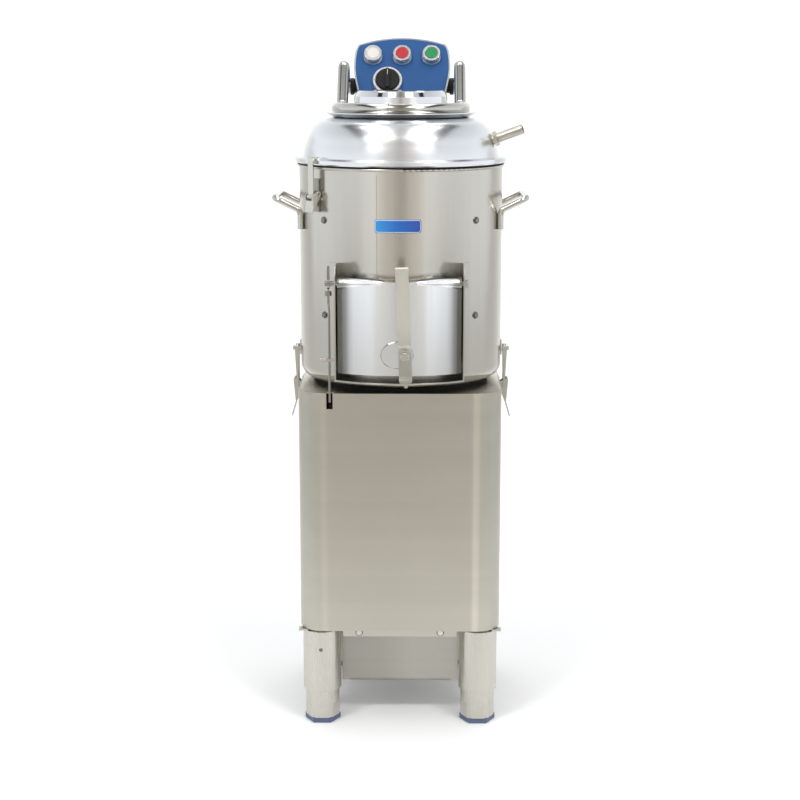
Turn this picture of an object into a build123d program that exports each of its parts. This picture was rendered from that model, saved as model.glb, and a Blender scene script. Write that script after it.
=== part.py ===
from build123d import *
import math
import os

os.makedirs("parts", exist_ok=True)

# Commercial floor-standing potato peeler, millimetres, +Z up.
# The origin is on the floor under the drum axis; the front faces -Y.

# ---- cabinet, base and legs ----
CAB_HALF = 162.0          # half width of the cabinet shell
CAB_R = 40.0              # vertical corner radius
CAB_WALL = 1.5
CAB_Z0, CAB_Z1 = 162.0, 554.0
PLATE_Z0, PLATE_T = 158.0, 3.0
LEG_XY = 127.5
LEG_R = 31.0
LEG_Z0 = 56.5
FOOT_R = 27.5
RUN = 0.05                # radial running clearance of pins in bores
SLIDE = 0.1               # radial clearance of a foot in its leg collar
DRAIN_Y, DRAIN_R = 112.0, 24.0
TRAY_Y0, TRAY_Y1 = -110.0, 138.0
TRAY_Z0, TRAY_Z1 = 56.5, 147.0
TRAY_HALF, TRAY_FRONT = 84.0, 95.8
ROD_X, ROD_Y = -110.0, -162.0

# ---- drum ----
DRUM_R, DRUM_WALL = 165.0, 2.0
DRUM_Z0, DRUM_Z1 = 559.0, 902.5
OPEN_HALF, OPEN_Z0, OPEN_Z1 = 86.0, 594.0, 727.0

# ---- discharge chute and door ----
CHUTE_HALF, CHUTE_T = 98.5, 2.0
CHUTE_Y, CHUTE_Z0, CHUTE_Z1 = -190.0, 579.0, 757.0
DOOR_R, DOOR_T, DOOR_HALF = 203.0, 9.0, 96.0
DOOR_Z0, DOOR_Z1 = 590.0, 738.7
HINGE_Y, HINGE_Z = -178.0, 730.2
BOLT_X, BOLT_Z = 8.7, 623.0
LEVER_TILT = 2.0
ROD_R = 1.9
HANDLE_R = 5.0
CAM_R0, CAM_RISE = 8.0, 4.6     # snail cam: base radius and rise per radian

# ---- drive ----
SHAFT_R = 12.5
PULLEY_R, PULLEY_CORE = 75.0, 66.0
MOTOR_X, MOTOR_Y = 75.0, -88.0
MPULLEY_R, MPULLEY_CORE = 28.0, 19.0
PULLEY_Z0, PULLEY_Z1 = 456.0, 476.0

# ---- lid and fill cap ----
BRIM_R, BRIM_Z0, BRIM_Z1 = 171.5, 907.0, 917.0
NECK_R, NECK_Z = 106.0, 980.8
CAP_Z0 = 981.0
HOOP_R, ARM_X, HOOP_TUBE, HOOP_Z = 102.8, 97.5, 9.5, 992.4
PIVOT_Y, PIVOT_Z = 168.0, 1024.5

# ---- control housing ----
PANEL_Y, PANEL_Z = 143.0, 1001.0
PANEL_TILT = 30.0
PANEL_DEPTH = 35.73
BUTTON_V, BUTTON_PITCH, BUTTON_H = 84.7, 50.0, 13.0
TIMER_X, TIMER_V = -24.7, 36.8
NOZZLE_TURN, NOZZLE_RISE = 12.0, 20.0

sn, cs = math.sin(math.radians(PANEL_TILT)), math.cos(math.radians(PANEL_TILT))
PANEL = Plane(origin=(0, PANEL_Y, PANEL_Z), x_dir=(1, 0, 0), z_dir=(0, -cs, sn))

# =====================================================================
# Base: plate with turned-down front and rear flanges and tray rails
# =====================================================================
with BuildPart() as base_frame:
    with BuildSketch(Plane.XY.offset(PLATE_Z0)):
        RectangleRounded(314, 300, 26)
        with Locations((157, -142), (-157, -142)):
            Rectangle(15, 14)
        with Locations((0, DRAIN_Y)):
            Circle(26, mode=Mode.SUBTRACT)
    extrude(amount=PLATE_T)
    with BuildSketch(Plane.XY.offset(149)):
        with Locations((0, -148.75), (0, 148.75)):
            Rectangle(184, 2.5)
    extrude(amount=PLATE_Z0 - 149)
    # spacer pads under the cabinet's inner flange
    with BuildSketch(Plane.XY.offset(PLATE_Z0 + PLATE_T)):
        with Locations((143, 60), (143, -60), (-143, 60), (-143, -60)):
            Rectangle(18, 40)
    extrude(amount=CAB_Z0 - PLATE_Z0 - PLATE_T)
    # rails for the tray: web and inward lip
    with BuildSketch(Plane.XY.offset(142)):
        with Locations((93, 18), (-93, 18)):
            Rectangle(2, 240)
    extrude(amount=PLATE_Z0 - 142)
    with BuildSketch(Plane.XY.offset(142)):
        with Locations((90, 18), (-90, 18)):
            Rectangle(8, 240)
    extrude(amount=1.5)
base_frame.part.label = "base_frame"
export_step(base_frame.part, "parts/base_frame.step")

# Four leg tubes, each with a collar that guides its foot
with BuildPart() as leg_tubes:
    with BuildSketch(Plane.XY.offset(LEG_Z0)):
        with GridLocations(2 * LEG_XY, 2 * LEG_XY, 2, 2):
            Circle(LEG_R)
    extrude(amount=PLATE_Z0 - LEG_Z0)
    with BuildSketch(Plane.XY.offset(LEG_Z0)):
        with GridLocations(2 * LEG_XY, 2 * LEG_XY, 2, 2):
            Circle(FOOT_R + SLIDE)
    extrude(amount=24, mode=Mode.SUBTRACT)
    with BuildSketch(Plane.XY.offset(LEG_Z0 + 24)):
        with GridLocations(2 * LEG_XY, 2 * LEG_XY, 2, 2):
            Circle(LEG_R - 2)
    extrude(amount=PLATE_Z0 - LEG_Z0 - 26, mode=Mode.SUBTRACT)
leg_tubes.part.label = "leg_tubes"
export_step(leg_tubes.part, "parts/leg_tubes.step")

# Adjustable feet: a steel sleeve with a hexagonal spanner end, on a plastic pad
for tag, sx, sy in (("front_left", -1, -1), ("front_right", 1, -1),
                    ("rear_left", -1, 1), ("rear_right", 1, 1)):
    with BuildPart() as foot_sleeve:
        with BuildSketch(Plane.XY.offset(9.0)):
            with Locations((sx * LEG_XY, sy * LEG_XY)):
                Circle(FOOT_R)
        extrude(amount=97)
        fillet(foot_sleeve.edges().filter_by(GeomType.CIRCLE).group_by(Axis.Z)[-1], 1.5)
        # six spanner flats above the pad
        with BuildSketch(Plane.XY.offset(9.0)):
            with Locations((sx * LEG_XY, sy * LEG_XY)):
                Circle(FOOT_R + 2)
                RegularPolygon(FOOT_R - 1.6, 6, major_radius=False, mode=Mode.SUBTRACT)
        extrude(amount=24, mode=Mode.SUBTRACT)
        with BuildSketch(Plane.XY.offset(12.0)):
            with Locations((sx * LEG_XY, sy * LEG_XY)):
                Circle(FOOT_R - 3)
        extrude(amount=100, mode=Mode.SUBTRACT)
    foot_sleeve.part.label = "foot_sleeve_" + tag
    export_step(foot_sleeve.part, "parts/foot_sleeve_" + tag + ".step")

    with BuildPart() as foot_pad:
        with BuildSketch(Plane.XY):
            with Locations((sx * LEG_XY, sy * LEG_XY)):
                RegularPolygon(29, 6)
        extrude(amount=9.0)
        chamfer(foot_pad.edges().group_by(Axis.Z)[0], 1.2)
    foot_pad.part.label = "foot_pad_" + tag
    export_step(foot_pad.part, "parts/foot_pad_" + tag + ".step")

# Filter tray: open box with a wide front and side rims that run on the rails
with BuildPart() as filter_tray:
    with BuildSketch(Plane.YZ.offset(-TRAY_HALF)):
        with Locations(((TRAY_Y0 + TRAY_Y1) / 2, (TRAY_Z0 + TRAY_Z1) / 2)):
            Rectangle(TRAY_Y1 - TRAY_Y0, TRAY_Z1 - TRAY_Z0)
    extrude(amount=2 * TRAY_HALF)
    fillet(filter_tray.edges().filter_by(Axis.X).group_by(Axis.Z)[0], 8)
    offset(amount=-1.5, openings=filter_tray.faces().sort_by(Axis.Z)[-1])
    with BuildSketch(Plane.XZ.offset(-TRAY_Y0 - 1.5)):
        with Locations(((TRAY_HALF + TRAY_FRONT) / 2, (TRAY_Z0 + 3 + TRAY_Z1) / 2),
                       (-(TRAY_HALF + TRAY_FRONT) / 2, (TRAY_Z0 + 3 + TRAY_Z1) / 2)):
            Rectangle(TRAY_FRONT - TRAY_HALF, TRAY_Z1 - TRAY_Z0 - 3)
    extrude(amount=1.5)
    with BuildSketch(Plane.XY.offset(143.7)):
        with Locations((TRAY_HALF + 3.5, 16), (-TRAY_HALF - 3.5, 16)):
            Rectangle(7, 240)
    extrude(amount=1.5)
filter_tray.part.label = "filter_tray"
export_step(filter_tray.part, "parts/filter_tray.step")

# Peel screen: slotted plate on four posts in the tray
with BuildPart() as filter_screen:
    with BuildSketch(Plane.XY.offset(112)):
        with Locations((0, 14)):
            Rectangle(2 * TRAY_HALF - 4, 244)
        with GridLocations(12, 74, 13, 3):
            with Locations((0, 14)):
                SlotOverall(62, 5, rotation=90, mode=Mode.SUBTRACT)
    extrude(amount=1.5)
    with BuildSketch(Plane.XY.offset(TRAY_Z0 + 1.5)):
        with Locations((76, -88), (-76, -88), (76, 124), (-76, 124)):
            Circle(3)
    extrude(amount=112 - TRAY_Z0 - 1.5)
filter_screen.part.label = "filter_screen"
export_step(filter_screen.part, "parts/filter_screen.step")

# =====================================================================
# Cabinet: wrapped shell, service panel and deck
# =====================================================================
with BuildPart() as cabinet_wrap:
    with BuildSketch(Plane.XY.offset(CAB_Z0)):
        RectangleRounded(2 * CAB_HALF, 2 * CAB_HALF, CAB_R)
        RectangleRounded(2 * (CAB_HALF - CAB_WALL), 2 * (CAB_HALF - CAB_WALL), CAB_R - CAB_WALL, mode=Mode.SUBTRACT)
    extrude(amount=CAB_Z1 - CAB_Z0)
    with BuildSketch(Plane.XY.offset(CAB_Z0)):
        RectangleRounded(2 * (CAB_HALF - CAB_WALL), 2 * (CAB_HALF - CAB_WALL), CAB_R - CAB_WALL)
        RectangleRounded(278, 278, 18, mode=Mode.SUBTRACT)
    extrude(amount=CAB_WALL)
    # rear service window
    with BuildSketch(Plane.XZ.offset(-150)):
        with Locations((0, 310)):
            RectangleRounded(230, 250, 6)
    extrude(amount=-20, mode=Mode.SUBTRACT)
    # slot for the interlock rod
    with BuildSketch(Plane.XZ.offset(150)):
        with Locations((ROD_X - 0.5, 545)):
            Rectangle(10, 32)
    extrude(amount=20, mode=Mode.SUBTRACT)
cabinet_wrap.part.label = "cabinet_wrap"
export_step(cabinet_wrap.part, "parts/cabinet_wrap.step")

with BuildPart() as cabinet_back_panel:
    with BuildSketch(Plane.XZ.offset(-CAB_HALF)):
        with Locations((0, 310)):
            RectangleRounded(250, 270, 8)
        with Locations((0, 360)):
            with GridLocations(76, 14, 2, 7):
                SlotOverall(62, 5, mode=Mode.SUBTRACT)
        with Locations((70, 205)):
            Circle(8.02, mode=Mode.SUBTRACT)
    extrude(amount=-1.5)
cabinet_back_panel.part.label = "cabinet_back_panel"
export_step(cabinet_back_panel.part, "parts/cabinet_back_panel.step")

with BuildPart() as cabinet_deck:
    with BuildSketch(Plane.XY.offset(CAB_Z1 - 2.5)):
        RectangleRounded(2 * (CAB_HALF - CAB_WALL), 2 * (CAB_HALF - CAB_WALL), CAB_R - CAB_WALL)
        Circle(33.5, mode=Mode.SUBTRACT)
        with Locations((0, DRAIN_Y)):
            Circle(25, mode=Mode.SUBTRACT)
        with Locations((ROD_X - 0.5, -156)):
            Rectangle(14, 14, mode=Mode.SUBTRACT)
    extrude(amount=2.5)
    # welded hanger plate for the motor, on three posts
    with BuildSketch(Plane.XY.offset(440)):
        with Locations((78, -86)):
            RectangleRounded(136, 128, 20)
        with Locations((MOTOR_X, MOTOR_Y)):
            Circle(20, mode=Mode.SUBTRACT)
    extrude(amount=4)
    with BuildSketch(Plane.XY.offset(444)):
        with Locations((20, -142), (137, -137), (136, -34)):
            Circle(6)
    extrude(amount=CAB_Z1 - 2.5 - 444)
cabinet_deck.part.label = "cabinet_deck"
export_step(cabinet_deck.part, "parts/cabinet_deck.step")

# =====================================================================
# Drum and what is fixed to it
# =====================================================================
with BuildPart() as drum:
    with BuildSketch(Plane.XY.offset(DRUM_Z0)):
        Circle(DRUM_R)
    extrude(amount=DRUM_Z1 - DRUM_Z0)
    fillet(drum.edges().filter_by(GeomType.CIRCLE).group_by(Axis.Z)[0], 20)
    offset(amount=-DRUM_WALL, openings=drum.faces().sort_by(Axis.Z)[-1])
    # rolled rim bead
    with BuildSketch(Plane.XZ):
        with Locations((DRUM_R + 0.6, DRUM_Z1)):
            Circle(2.4)
    revolve(axis=Axis.Z)
    with BuildSketch(Plane.XY.offset(DRUM_Z0 - 1)):
        Circle(34)
        with Locations((0, DRAIN_Y)):
            Circle(DRAIN_R)
    extrude(amount=8, mode=Mode.SUBTRACT)
    # discharge opening
    with BuildSketch(Plane.XZ.offset(120)):
        with Locations((0, (OPEN_Z0 + OPEN_Z1) / 2)):
            RectangleRounded(2 * OPEN_HALF, OPEN_Z1 - OPEN_Z0, 10)
    extrude(amount=60, mode=Mode.SUBTRACT)
drum.part.label = "drum"
export_step(drum.part, "parts/drum.step")

# Rubber ring that the drum stands on
with BuildPart() as drum_ring:
    with BuildSketch(Plane.XY.offset(CAB_Z1)):
        Circle(143)
        Circle(138.5, mode=Mode.SUBTRACT)
    extrude(amount=DRUM_Z0 - CAB_Z1)
drum_ring.part.label = "drum_ring"
export_step(drum_ring.part, "parts/drum_ring.step")

# Rubber seal between drum rim and lid
with BuildPart() as lid_seal:
    with BuildSketch(Plane.XY.offset(DRUM_Z1 + 2.4)):
        Circle(168.2)
        Circle(161, mode=Mode.SUBTRACT)
    extrude(amount=BRIM_Z0 - DRUM_Z1 - 2.4)
lid_seal.part.label = "lid_seal"
export_step(lid_seal.part, "parts/lid_seal.step")

# Abrasive lining of the drum wall, cut away at the discharge opening
with BuildPart() as abrasive_liner:
    with BuildSketch(Plane.XY.offset(600)):
        Circle(DRUM_R - DRUM_WALL - 0.1)
        Circle(157.5, mode=Mode.SUBTRACT)
    extrude(amount=285)
    with BuildSketch(Plane.XZ.offset(110)):
        with Locations((0, 664)):
            Rectangle(184, 148)
    extrude(amount=70, mode=Mode.SUBTRACT)
abrasive_liner.part.label = "abrasive_liner"
export_step(abrasive_liner.part, "parts/abrasive_liner.step")

# Discharge chute: two cheeks with welding flanges, a bulged lip and a rod guide
with BuildPart() as discharge_chute:
    with BuildSketch(Plane.YZ.offset(-CHUTE_HALF - CHUTE_T)):
        with BuildLine():
            Polyline((CHUTE_Y, CHUTE_Z0), (CHUTE_Y, CHUTE_Z1 - 14), (CHUTE_Y + 14, CHUTE_Z1),
                     (-122, CHUTE_Z1), (-122, CHUTE_Z0), close=True)
        make_face()
        with Locations((HINGE_Y, HINGE_Z)):
            Circle(4 + RUN, mode=Mode.SUBTRACT)
    extrude(amount=CHUTE_T)
    with BuildSketch(Plane.YZ.offset(CHUTE_HALF)):
        with BuildLine():
            Polyline((CHUTE_Y, CHUTE_Z0), (CHUTE_Y, CHUTE_Z1 - 14), (CHUTE_Y + 14, CHUTE_Z1),
                     (-122, CHUTE_Z1), (-122, CHUTE_Z0), close=True)
        make_face()
        with Locations((HINGE_Y, HINGE_Z)):
            Circle(4 + RUN, mode=Mode.SUBTRACT)
    extrude(amount=CHUTE_T)
    # flanges that lie on the drum
    with BuildSketch(Plane.XY.offset(CHUTE_Z0 + 6)):
        with Locations((104.5, -128), (-104.5, -128)):
            Rectangle(10, 20)
        Circle(DRUM_R + 1.5, mode=Mode.INTERSECT)
    extrude(amount=CHUTE_Z1 - CHUTE_Z0 - 6)
    # bulged bottom lip
    with BuildSketch(Plane.XY.offset(CHUTE_Z0)):
        with BuildLine():
            ThreePointArc((-100.5, CHUTE_Y), (0, -222), (100.5, CHUTE_Y))
            Polyline((100.5, CHUTE_Y), (100.5, -122), (-100.5, -122), (-100.5, CHUTE_Y))
        make_face()
    extrude(amount=2.5)
    # guide eye for the interlock rod
    with BuildSketch(Plane.XY.offset(606)):
        with Locations((-107.5, ROD_Y)):
            Rectangle(16, 9)
        with Locations((ROD_X, ROD_Y)):
            Circle(ROD_R + RUN, mode=Mode.SUBTRACT)
    extrude(amount=4)
    with BuildSketch(Plane.YZ.offset(-123.5)):
        with Locations((ROD_Y, 608)):
            Circle(3.0)
    extrude(amount=9)
    # fixed latch pin under the lip
    with BuildSketch(Plane.XY.offset(CHUTE_Z0 - 5)):
        with Locations((10.5, -215)):
            Circle(3)
    extrude(amount=5)
    # everything stays outside the drum wall
    with BuildSketch(Plane.XY.offset(570)):
        Circle(DRUM_R)
    extrude(amount=200, mode=Mode.SUBTRACT)
discharge_chute.part.label = "discharge_chute"
export_step(discharge_chute.part, "parts/discharge_chute.step")

# Bail handles, one on each side of the drum
with BuildPart() as side_handles:
    for sx in (-1, 1):
        hx = sx * 160.2
        tx = sx * 201.5
        with BuildLine() as bail:
            FilletPolyline((hx, -57, 802.5), (hx, -57, 832), (tx, -57, 852), (tx, 57, 852),
                           (hx, 57, 832), (hx, 57, 802.5), radius=11)
        with BuildSketch(Plane(origin=(hx, -57, 802.5), z_dir=(0, 0, 1))):
            Circle(HANDLE_R)
        sweep(path=bail.line)
side_handles.part.label = "side_handles"
export_step(side_handles.part, "parts/side_handles.step")

# Fasteners that hold fixed sheets: low domed heads
with BuildPart() as panel_screws:
    for ang in (46.2, -46.2, 133.8, -133.8):
        ax, ay = math.sin(math.radians(ang)), -math.cos(math.radians(ang))
        for z in (672, 822):
            with BuildSketch(Plane(origin=(ax * (DRUM_R + 0.05), ay * (DRUM_R + 0.05), z), z_dir=(ax, ay, 0))):
                Circle(5)
            extrude(amount=2.6, taper=18)
    with BuildSketch(Plane.XZ.offset(150)):
        with Locations((66, 156.2), (-66, 156.2)):
            Circle(5.3)
    extrude(amount=3, taper=15)
    with BuildSketch(Plane.XZ.offset(-CAB_HALF - 1.5)):
        with Locations((118, 184), (-118, 184), (118, 436), (-118, 436)):
            Circle(4)
    extrude(amount=-2.6, taper=15)
panel_screws.part.label = "panel_screws"
export_step(panel_screws.part, "parts/panel_screws.step")

# =====================================================================
# Drive: shaft, bearings, disc, pulleys, belt, motor
# =====================================================================
with BuildPart() as bearing_housing:
    with BuildSketch(Plane.XY.offset(478)):
        Circle(33)
        Circle(26, mode=Mode.SUBTRACT)
    extrude(amount=88)
    with BuildSketch(Plane.XY.offset(CAB_Z1 - 2.5 - 8)):
        Circle(58)
        Circle(26, mode=Mode.SUBTRACT)
    extrude(amount=8)
bearing_housing.part.label = "bearing_housing"
export_step(bearing_housing.part, "parts/bearing_housing.step")

with BuildPart() as shaft_bearings:
    for z in (484, 545):
        with BuildSketch(Plane.XY.offset(z)):
            Circle(26)
            Circle(SHAFT_R + RUN, mode=Mode.SUBTRACT)
        extrude(amount=15)
shaft_bearings.part.label = "shaft_bearings"
export_step(shaft_bearings.part, "parts/shaft_bearings.step")

with BuildPart() as drive_shaft:
    with BuildSketch(Plane.XY.offset(450)):
        Circle(SHAFT_R)
    extrude(amount=136)
    with BuildSketch(Plane.XY.offset(586)):
        Circle(9)
    extrude(amount=16)
    chamfer(drive_shaft.edges().group_by(Axis.Z)[-1], 1.5)
    chamfer(drive_shaft.edges().group_by(Axis.Z)[0], 1.5)
drive_shaft.part.label = "drive_shaft"
export_step(drive_shaft.part, "parts/drive_shaft.step")

# Abrasive disc with three raised waves and a hub
with BuildPart() as abrasive_disc:
    with BuildSketch(Plane.XY.offset(574)):
        Circle(152)
    extrude(amount=12)
    fillet(abrasive_disc.edges().filter_by(GeomType.CIRCLE), 3)
    with BuildSketch(Plane.XY.offset(569)):
        Circle(24)
    extrude(amount=6)
    with BuildSketch(Plane.XY.offset(586)):
        with PolarLocations(88, 3):
            SlotOverall(104, 26)
    extrude(amount=6, taper=35)
    with BuildSketch(Plane.XY.offset(568)):
        Circle(SHAFT_R)
    extrude(amount=30, mode=Mode.SUBTRACT)
abrasive_disc.part.label = "abrasive_disc"
export_step(abrasive_disc.part, "parts/abrasive_disc.step")

with BuildPart() as disc_nut:
    with BuildSketch(Plane.XY.offset(586)):
        Circle(18)
        Circle(9, mode=Mode.SUBTRACT)
    extrude(amount=2.5)
    with BuildSketch(Plane.XY.offset(588.5)):
        RegularPolygon(15, 6)
        Circle(9, mode=Mode.SUBTRACT)
    extrude(amount=9)
disc_nut.part.label = "disc_nut"
export_step(disc_nut.part, "parts/disc_nut.step")

with BuildPart() as driven_pulley:
    with BuildSketch(Plane.XY.offset(PULLEY_Z0)):
        Circle(PULLEY_R)
    extrude(amount=PULLEY_Z1 - PULLEY_Z0)
    with BuildSketch(Plane.XY.offset(PULLEY_Z0 + 4)):
        Circle(PULLEY_R + 1)
        Circle(PULLEY_CORE, mode=Mode.SUBTRACT)
    extrude(amount=12, mode=Mode.SUBTRACT)
    with BuildSketch(Plane.XY.offset(PULLEY_Z0 - 1)):
        Circle(SHAFT_R)
        with PolarLocations(42, 5):
            Circle(11)
    extrude(amount=24, mode=Mode.SUBTRACT)
driven_pulley.part.label = "driven_pulley"
export_step(driven_pulley.part, "parts/driven_pulley.step")

with BuildPart() as motor_pulley:
    with BuildSketch(Plane.XY.offset(PULLEY_Z0)):
        with Locations((MOTOR_X, MOTOR_Y)):
            Circle(MPULLEY_R)
    extrude(amount=PULLEY_Z1 - PULLEY_Z0)
    with BuildSketch(Plane.XY.offset(PULLEY_Z0 + 4)):
        with Locations((MOTOR_X, MOTOR_Y)):
            Circle(MPULLEY_R + 1)
            Circle(MPULLEY_CORE, mode=Mode.SUBTRACT)
    extrude(amount=12, mode=Mode.SUBTRACT)
    # rotor shaft
    with BuildSketch(Plane.XY.offset(400)):
        with Locations((MOTOR_X, MOTOR_Y)):
            Circle(9)
    extrude(amount=82)
motor_pulley.part.label = "motor_pulley"
export_step(motor_pulley.part, "parts/motor_pulley.step")

with BuildPart() as drive_belt:
    with BuildSketch(Plane.XY.offset(PULLEY_Z0 + 4.5)) as belt_outer:
        Circle(PULLEY_CORE + 8)
        with Locations((MOTOR_X, MOTOR_Y)):
            Circle(MPULLEY_CORE + 8)
        make_hull()
    extrude(amount=11)
    with BuildSketch(Plane.XY.offset(PULLEY_Z0 + 4.5)) as belt_inner:
        Circle(PULLEY_CORE + 0.4)
        with Locations((MOTOR_X, MOTOR_Y)):
            Circle(MPULLEY_CORE + 0.4)
        make_hull()
    extrude(amount=11, mode=Mode.SUBTRACT)
drive_belt.part.label = "drive_belt"
export_step(drive_belt.part, "parts/drive_belt.step")

with BuildPart() as motor:
    with BuildSketch(Plane.XY.offset(250)):
        with Locations((MOTOR_X, MOTOR_Y)):
            Circle(60)
    extrude(amount=184)
    fillet(motor.edges().filter_by(GeomType.CIRCLE).group_by(Axis.Z)[0], 10)
    with BuildSketch(Plane.XY.offset(434)):
        with Locations((MOTOR_X, MOTOR_Y)):
            RectangleRounded(122, 122, 14)
    extrude(amount=6)
    # terminal box
    with BuildSketch(Plane.XY.offset(330)):
        with Locations((MOTOR_X - 74, MOTOR_Y)):
            RectangleRounded(40, 70, 5)
    extrude(amount=60)
    with BuildSketch(Plane.XY.offset(398)):
        with Locations((MOTOR_X, MOTOR_Y)):
            Circle(9 + RUN)
    extrude(amount=50, mode=Mode.SUBTRACT)
motor.part.label = "motor"
export_step(motor.part, "parts/motor.step")

with BuildPart() as drain_pipe:
    with BuildSketch(Plane.XY.offset(150)):
        with Locations((0, DRAIN_Y)):
            Circle(DRAIN_R - 0.1)
            Circle(DRAIN_R - 2, mode=Mode.SUBTRACT)
    extrude(amount=DRUM_Z0 + 2 - 150)
drain_pipe.part.label = "drain_pipe"
export_step(drain_pipe.part, "parts/drain_pipe.step")

# =====================================================================
# Discharge door, its hinge pin with snail cam, lever, bolt and rod
# =====================================================================
with BuildPart() as discharge_door:
    with BuildSketch(Plane.XY.offset(DOOR_Z0)):
        Circle(DOOR_R)
        Circle(DOOR_R - DOOR_T, mode=Mode.SUBTRACT)
        with Locations((0, -190)):
            Rectangle(2 * DOOR_HALF, 90, mode=Mode.INTERSECT)
    extrude(amount=DOOR_Z1 - DOOR_Z0)
    # hinge barrels at the two upper corners, each running out in a tapered roll
    for s in (-1, 1):
        roll = (-s * 66.0, -22.0, 3.6)
        with BuildSketch(Plane(origin=(s * 92.0, HINGE_Y, HINGE_Z), z_dir=roll)):
            Circle(8.5)
        with BuildSketch(Plane(origin=(s * 92.0 + roll[0], HINGE_Y + roll[1], HINGE_Z + roll[2]), z_dir=roll)):
            Circle(3.2)
        loft()
    with BuildSketch(Plane.YZ.offset(-DOOR_HALF)):
        with Locations((HINGE_Y, HINGE_Z)):
            Circle(8.5)
    extrude(amount=14)
    with BuildSketch(Plane.YZ.offset(DOOR_HALF)):
        with Locations((HINGE_Y, HINGE_Z)):
            Circle(8.5)
    extrude(amount=-14)
    # shallow dip in the middle of the top edge
    with BuildSketch(Plane.XZ.offset(150)):
        with BuildLine():
            Polyline((-76, DOOR_Z1), (-76, 760), (76, 760), (76, DOOR_Z1))
            Spline((76, DOOR_Z1), (50, DOOR_Z1 - 0.9), (0, DOOR_Z1 - 4.2), (-50, DOOR_Z1 - 0.9), (-76, DOOR_Z1))
        make_face()
    extrude(amount=70, mode=Mode.SUBTRACT)
    # round boss that carries the lever bolt
    with BuildSketch(Plane.XZ.offset(197)):
        with Locations((-3.5, BOLT_Z)):
            Ellipse(24, 19.5)
    extrude(amount=11)
    with BuildSketch(Plane.XZ.offset(190)):
        with Locations((BOLT_X, BOLT_Z)):
            Circle(5.02)
    extrude(amount=24, mode=Mode.SUBTRACT)
    with BuildSketch(Plane.YZ.offset(-DOOR_HALF - 1)):
        with Locations((HINGE_Y, HINGE_Z)):
            Circle(4.0)
    extrude(amount=2 * DOOR_HALF + 2, mode=Mode.SUBTRACT)
discharge_door.part.label = "discharge_door"
export_step(discharge_door.part, "parts/discharge_door.step")

# Hinge pin; its left end carries a snail cam that drives the interlock rod
cam_pts = [(HINGE_Y + (CAM_R0 + CAM_RISE * a) * math.sin(a), HINGE_Z - (CAM_R0 + CAM_RISE * a) * math.cos(a))
           for a in [i * 1.9 / 12 for i in range(13)]]
with BuildPart() as door_hinge_pin:
    with BuildSketch(Plane.YZ.offset(-115.5)):
        with Locations((HINGE_Y, HINGE_Z)):
            Circle(4)
    extrude(amount=219.5)
    with BuildSketch(Plane.YZ.offset(-111.7)):
        with BuildLine():
            Spline(*cam_pts)
            ThreePointArc(cam_pts[-1], (HINGE_Y - 3, HINGE_Z + 9.5), (HINGE_Y - 9, HINGE_Z))
            ThreePointArc((HINGE_Y - 9, HINGE_Z), (HINGE_Y - 6.2, HINGE_Z - 6.0), cam_pts[0])
        make_face()
        with BuildLine():
            Polyline((HINGE_Y - 7, HINGE_Z + 2), (HINGE_Y - 5, HINGE_Z + 22), (HINGE_Y + 3, HINGE_Z + 27),
                     (HINGE_Y + 6, HINGE_Z + 22), (HINGE_Y + 6, HINGE_Z + 2), close=True)
        make_face()
    extrude(amount=3.8)
    with BuildSketch(Plane.YZ.offset(101.2)):
        with Locations((HINGE_Y, HINGE_Z)):
            RegularPolygon(7, 6)
    extrude(amount=5)
door_hinge_pin.part.label = "door_hinge_pin"
export_step(door_hinge_pin.part, "parts/door_hinge_pin.step")

# Lever: flat bar leaning forward, with a thick foot that turns on the bolt
lev = Plane(origin=(BOLT_X, 0, BOLT_Z),
            x_dir=(math.cos(math.radians(LEVER_TILT)), 0, math.sin(math.radians(LEVER_TILT))), z_dir=(0, -1, 0))
lev_side = Plane(origin=(BOLT_X, 0, BOLT_Z), x_dir=(0, 1, 0),
                 z_dir=(math.cos(math.radians(LEVER_TILT)), 0, math.sin(math.radians(LEVER_TILT))))
with BuildPart() as door_lever:
    with BuildSketch(lev_side.offset(-10)):
        with BuildLine():
            Polyline((-208.3, -16), (-208.3, 12), (-211, 15), (-216.5, 23), (-225.5, 139), (-232.8, 139),
                     (-225.5, 18), (-219, 9.5), (-218, -31), (-226, -36), (-226, -40.5), (-213, -40.5),
                     (-210.5, -32), (-208.3, -16))
        make_face()
    extrude(amount=20)
    fillet(door_lever.edges().filter_by(lambda e: e.center().Z > 755 and e.length > 15), 3)
    # rounded corners of the foot
    fillet(door_lever.edges().filter_by(lambda e: e.center().Z < BOLT_Z - 39.5 and abs(abs(e.center().X - BOLT_X) - 10) < 2.6 and e.length > 11), 3.4)
    with BuildSketch(lev.offset(200)):
        Circle(5 + RUN)
    extrude(amount=40, mode=Mode.SUBTRACT)
door_lever.part.label = "door_lever"
export_step(door_lever.part, "parts/door_lever.step")

with BuildPart() as lever_bolt:
    with BuildSketch(Plane.XZ.offset(195)):
        with Locations((BOLT_X, BOLT_Z)):
            Circle(5)
    extrude(amount=25)
    with BuildSketch(Plane.XZ.offset(219.3)):
        with Locations((BOLT_X, BOLT_Z)):
            Circle(7.0)
    extrude(amount=4.5)
    chamfer(lever_bolt.edges().group_by(Axis.Y)[0], 1.2)
lever_bolt.part.label = "lever_bolt"
export_step(lever_bolt.part, "parts/lever_bolt.step")

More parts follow.
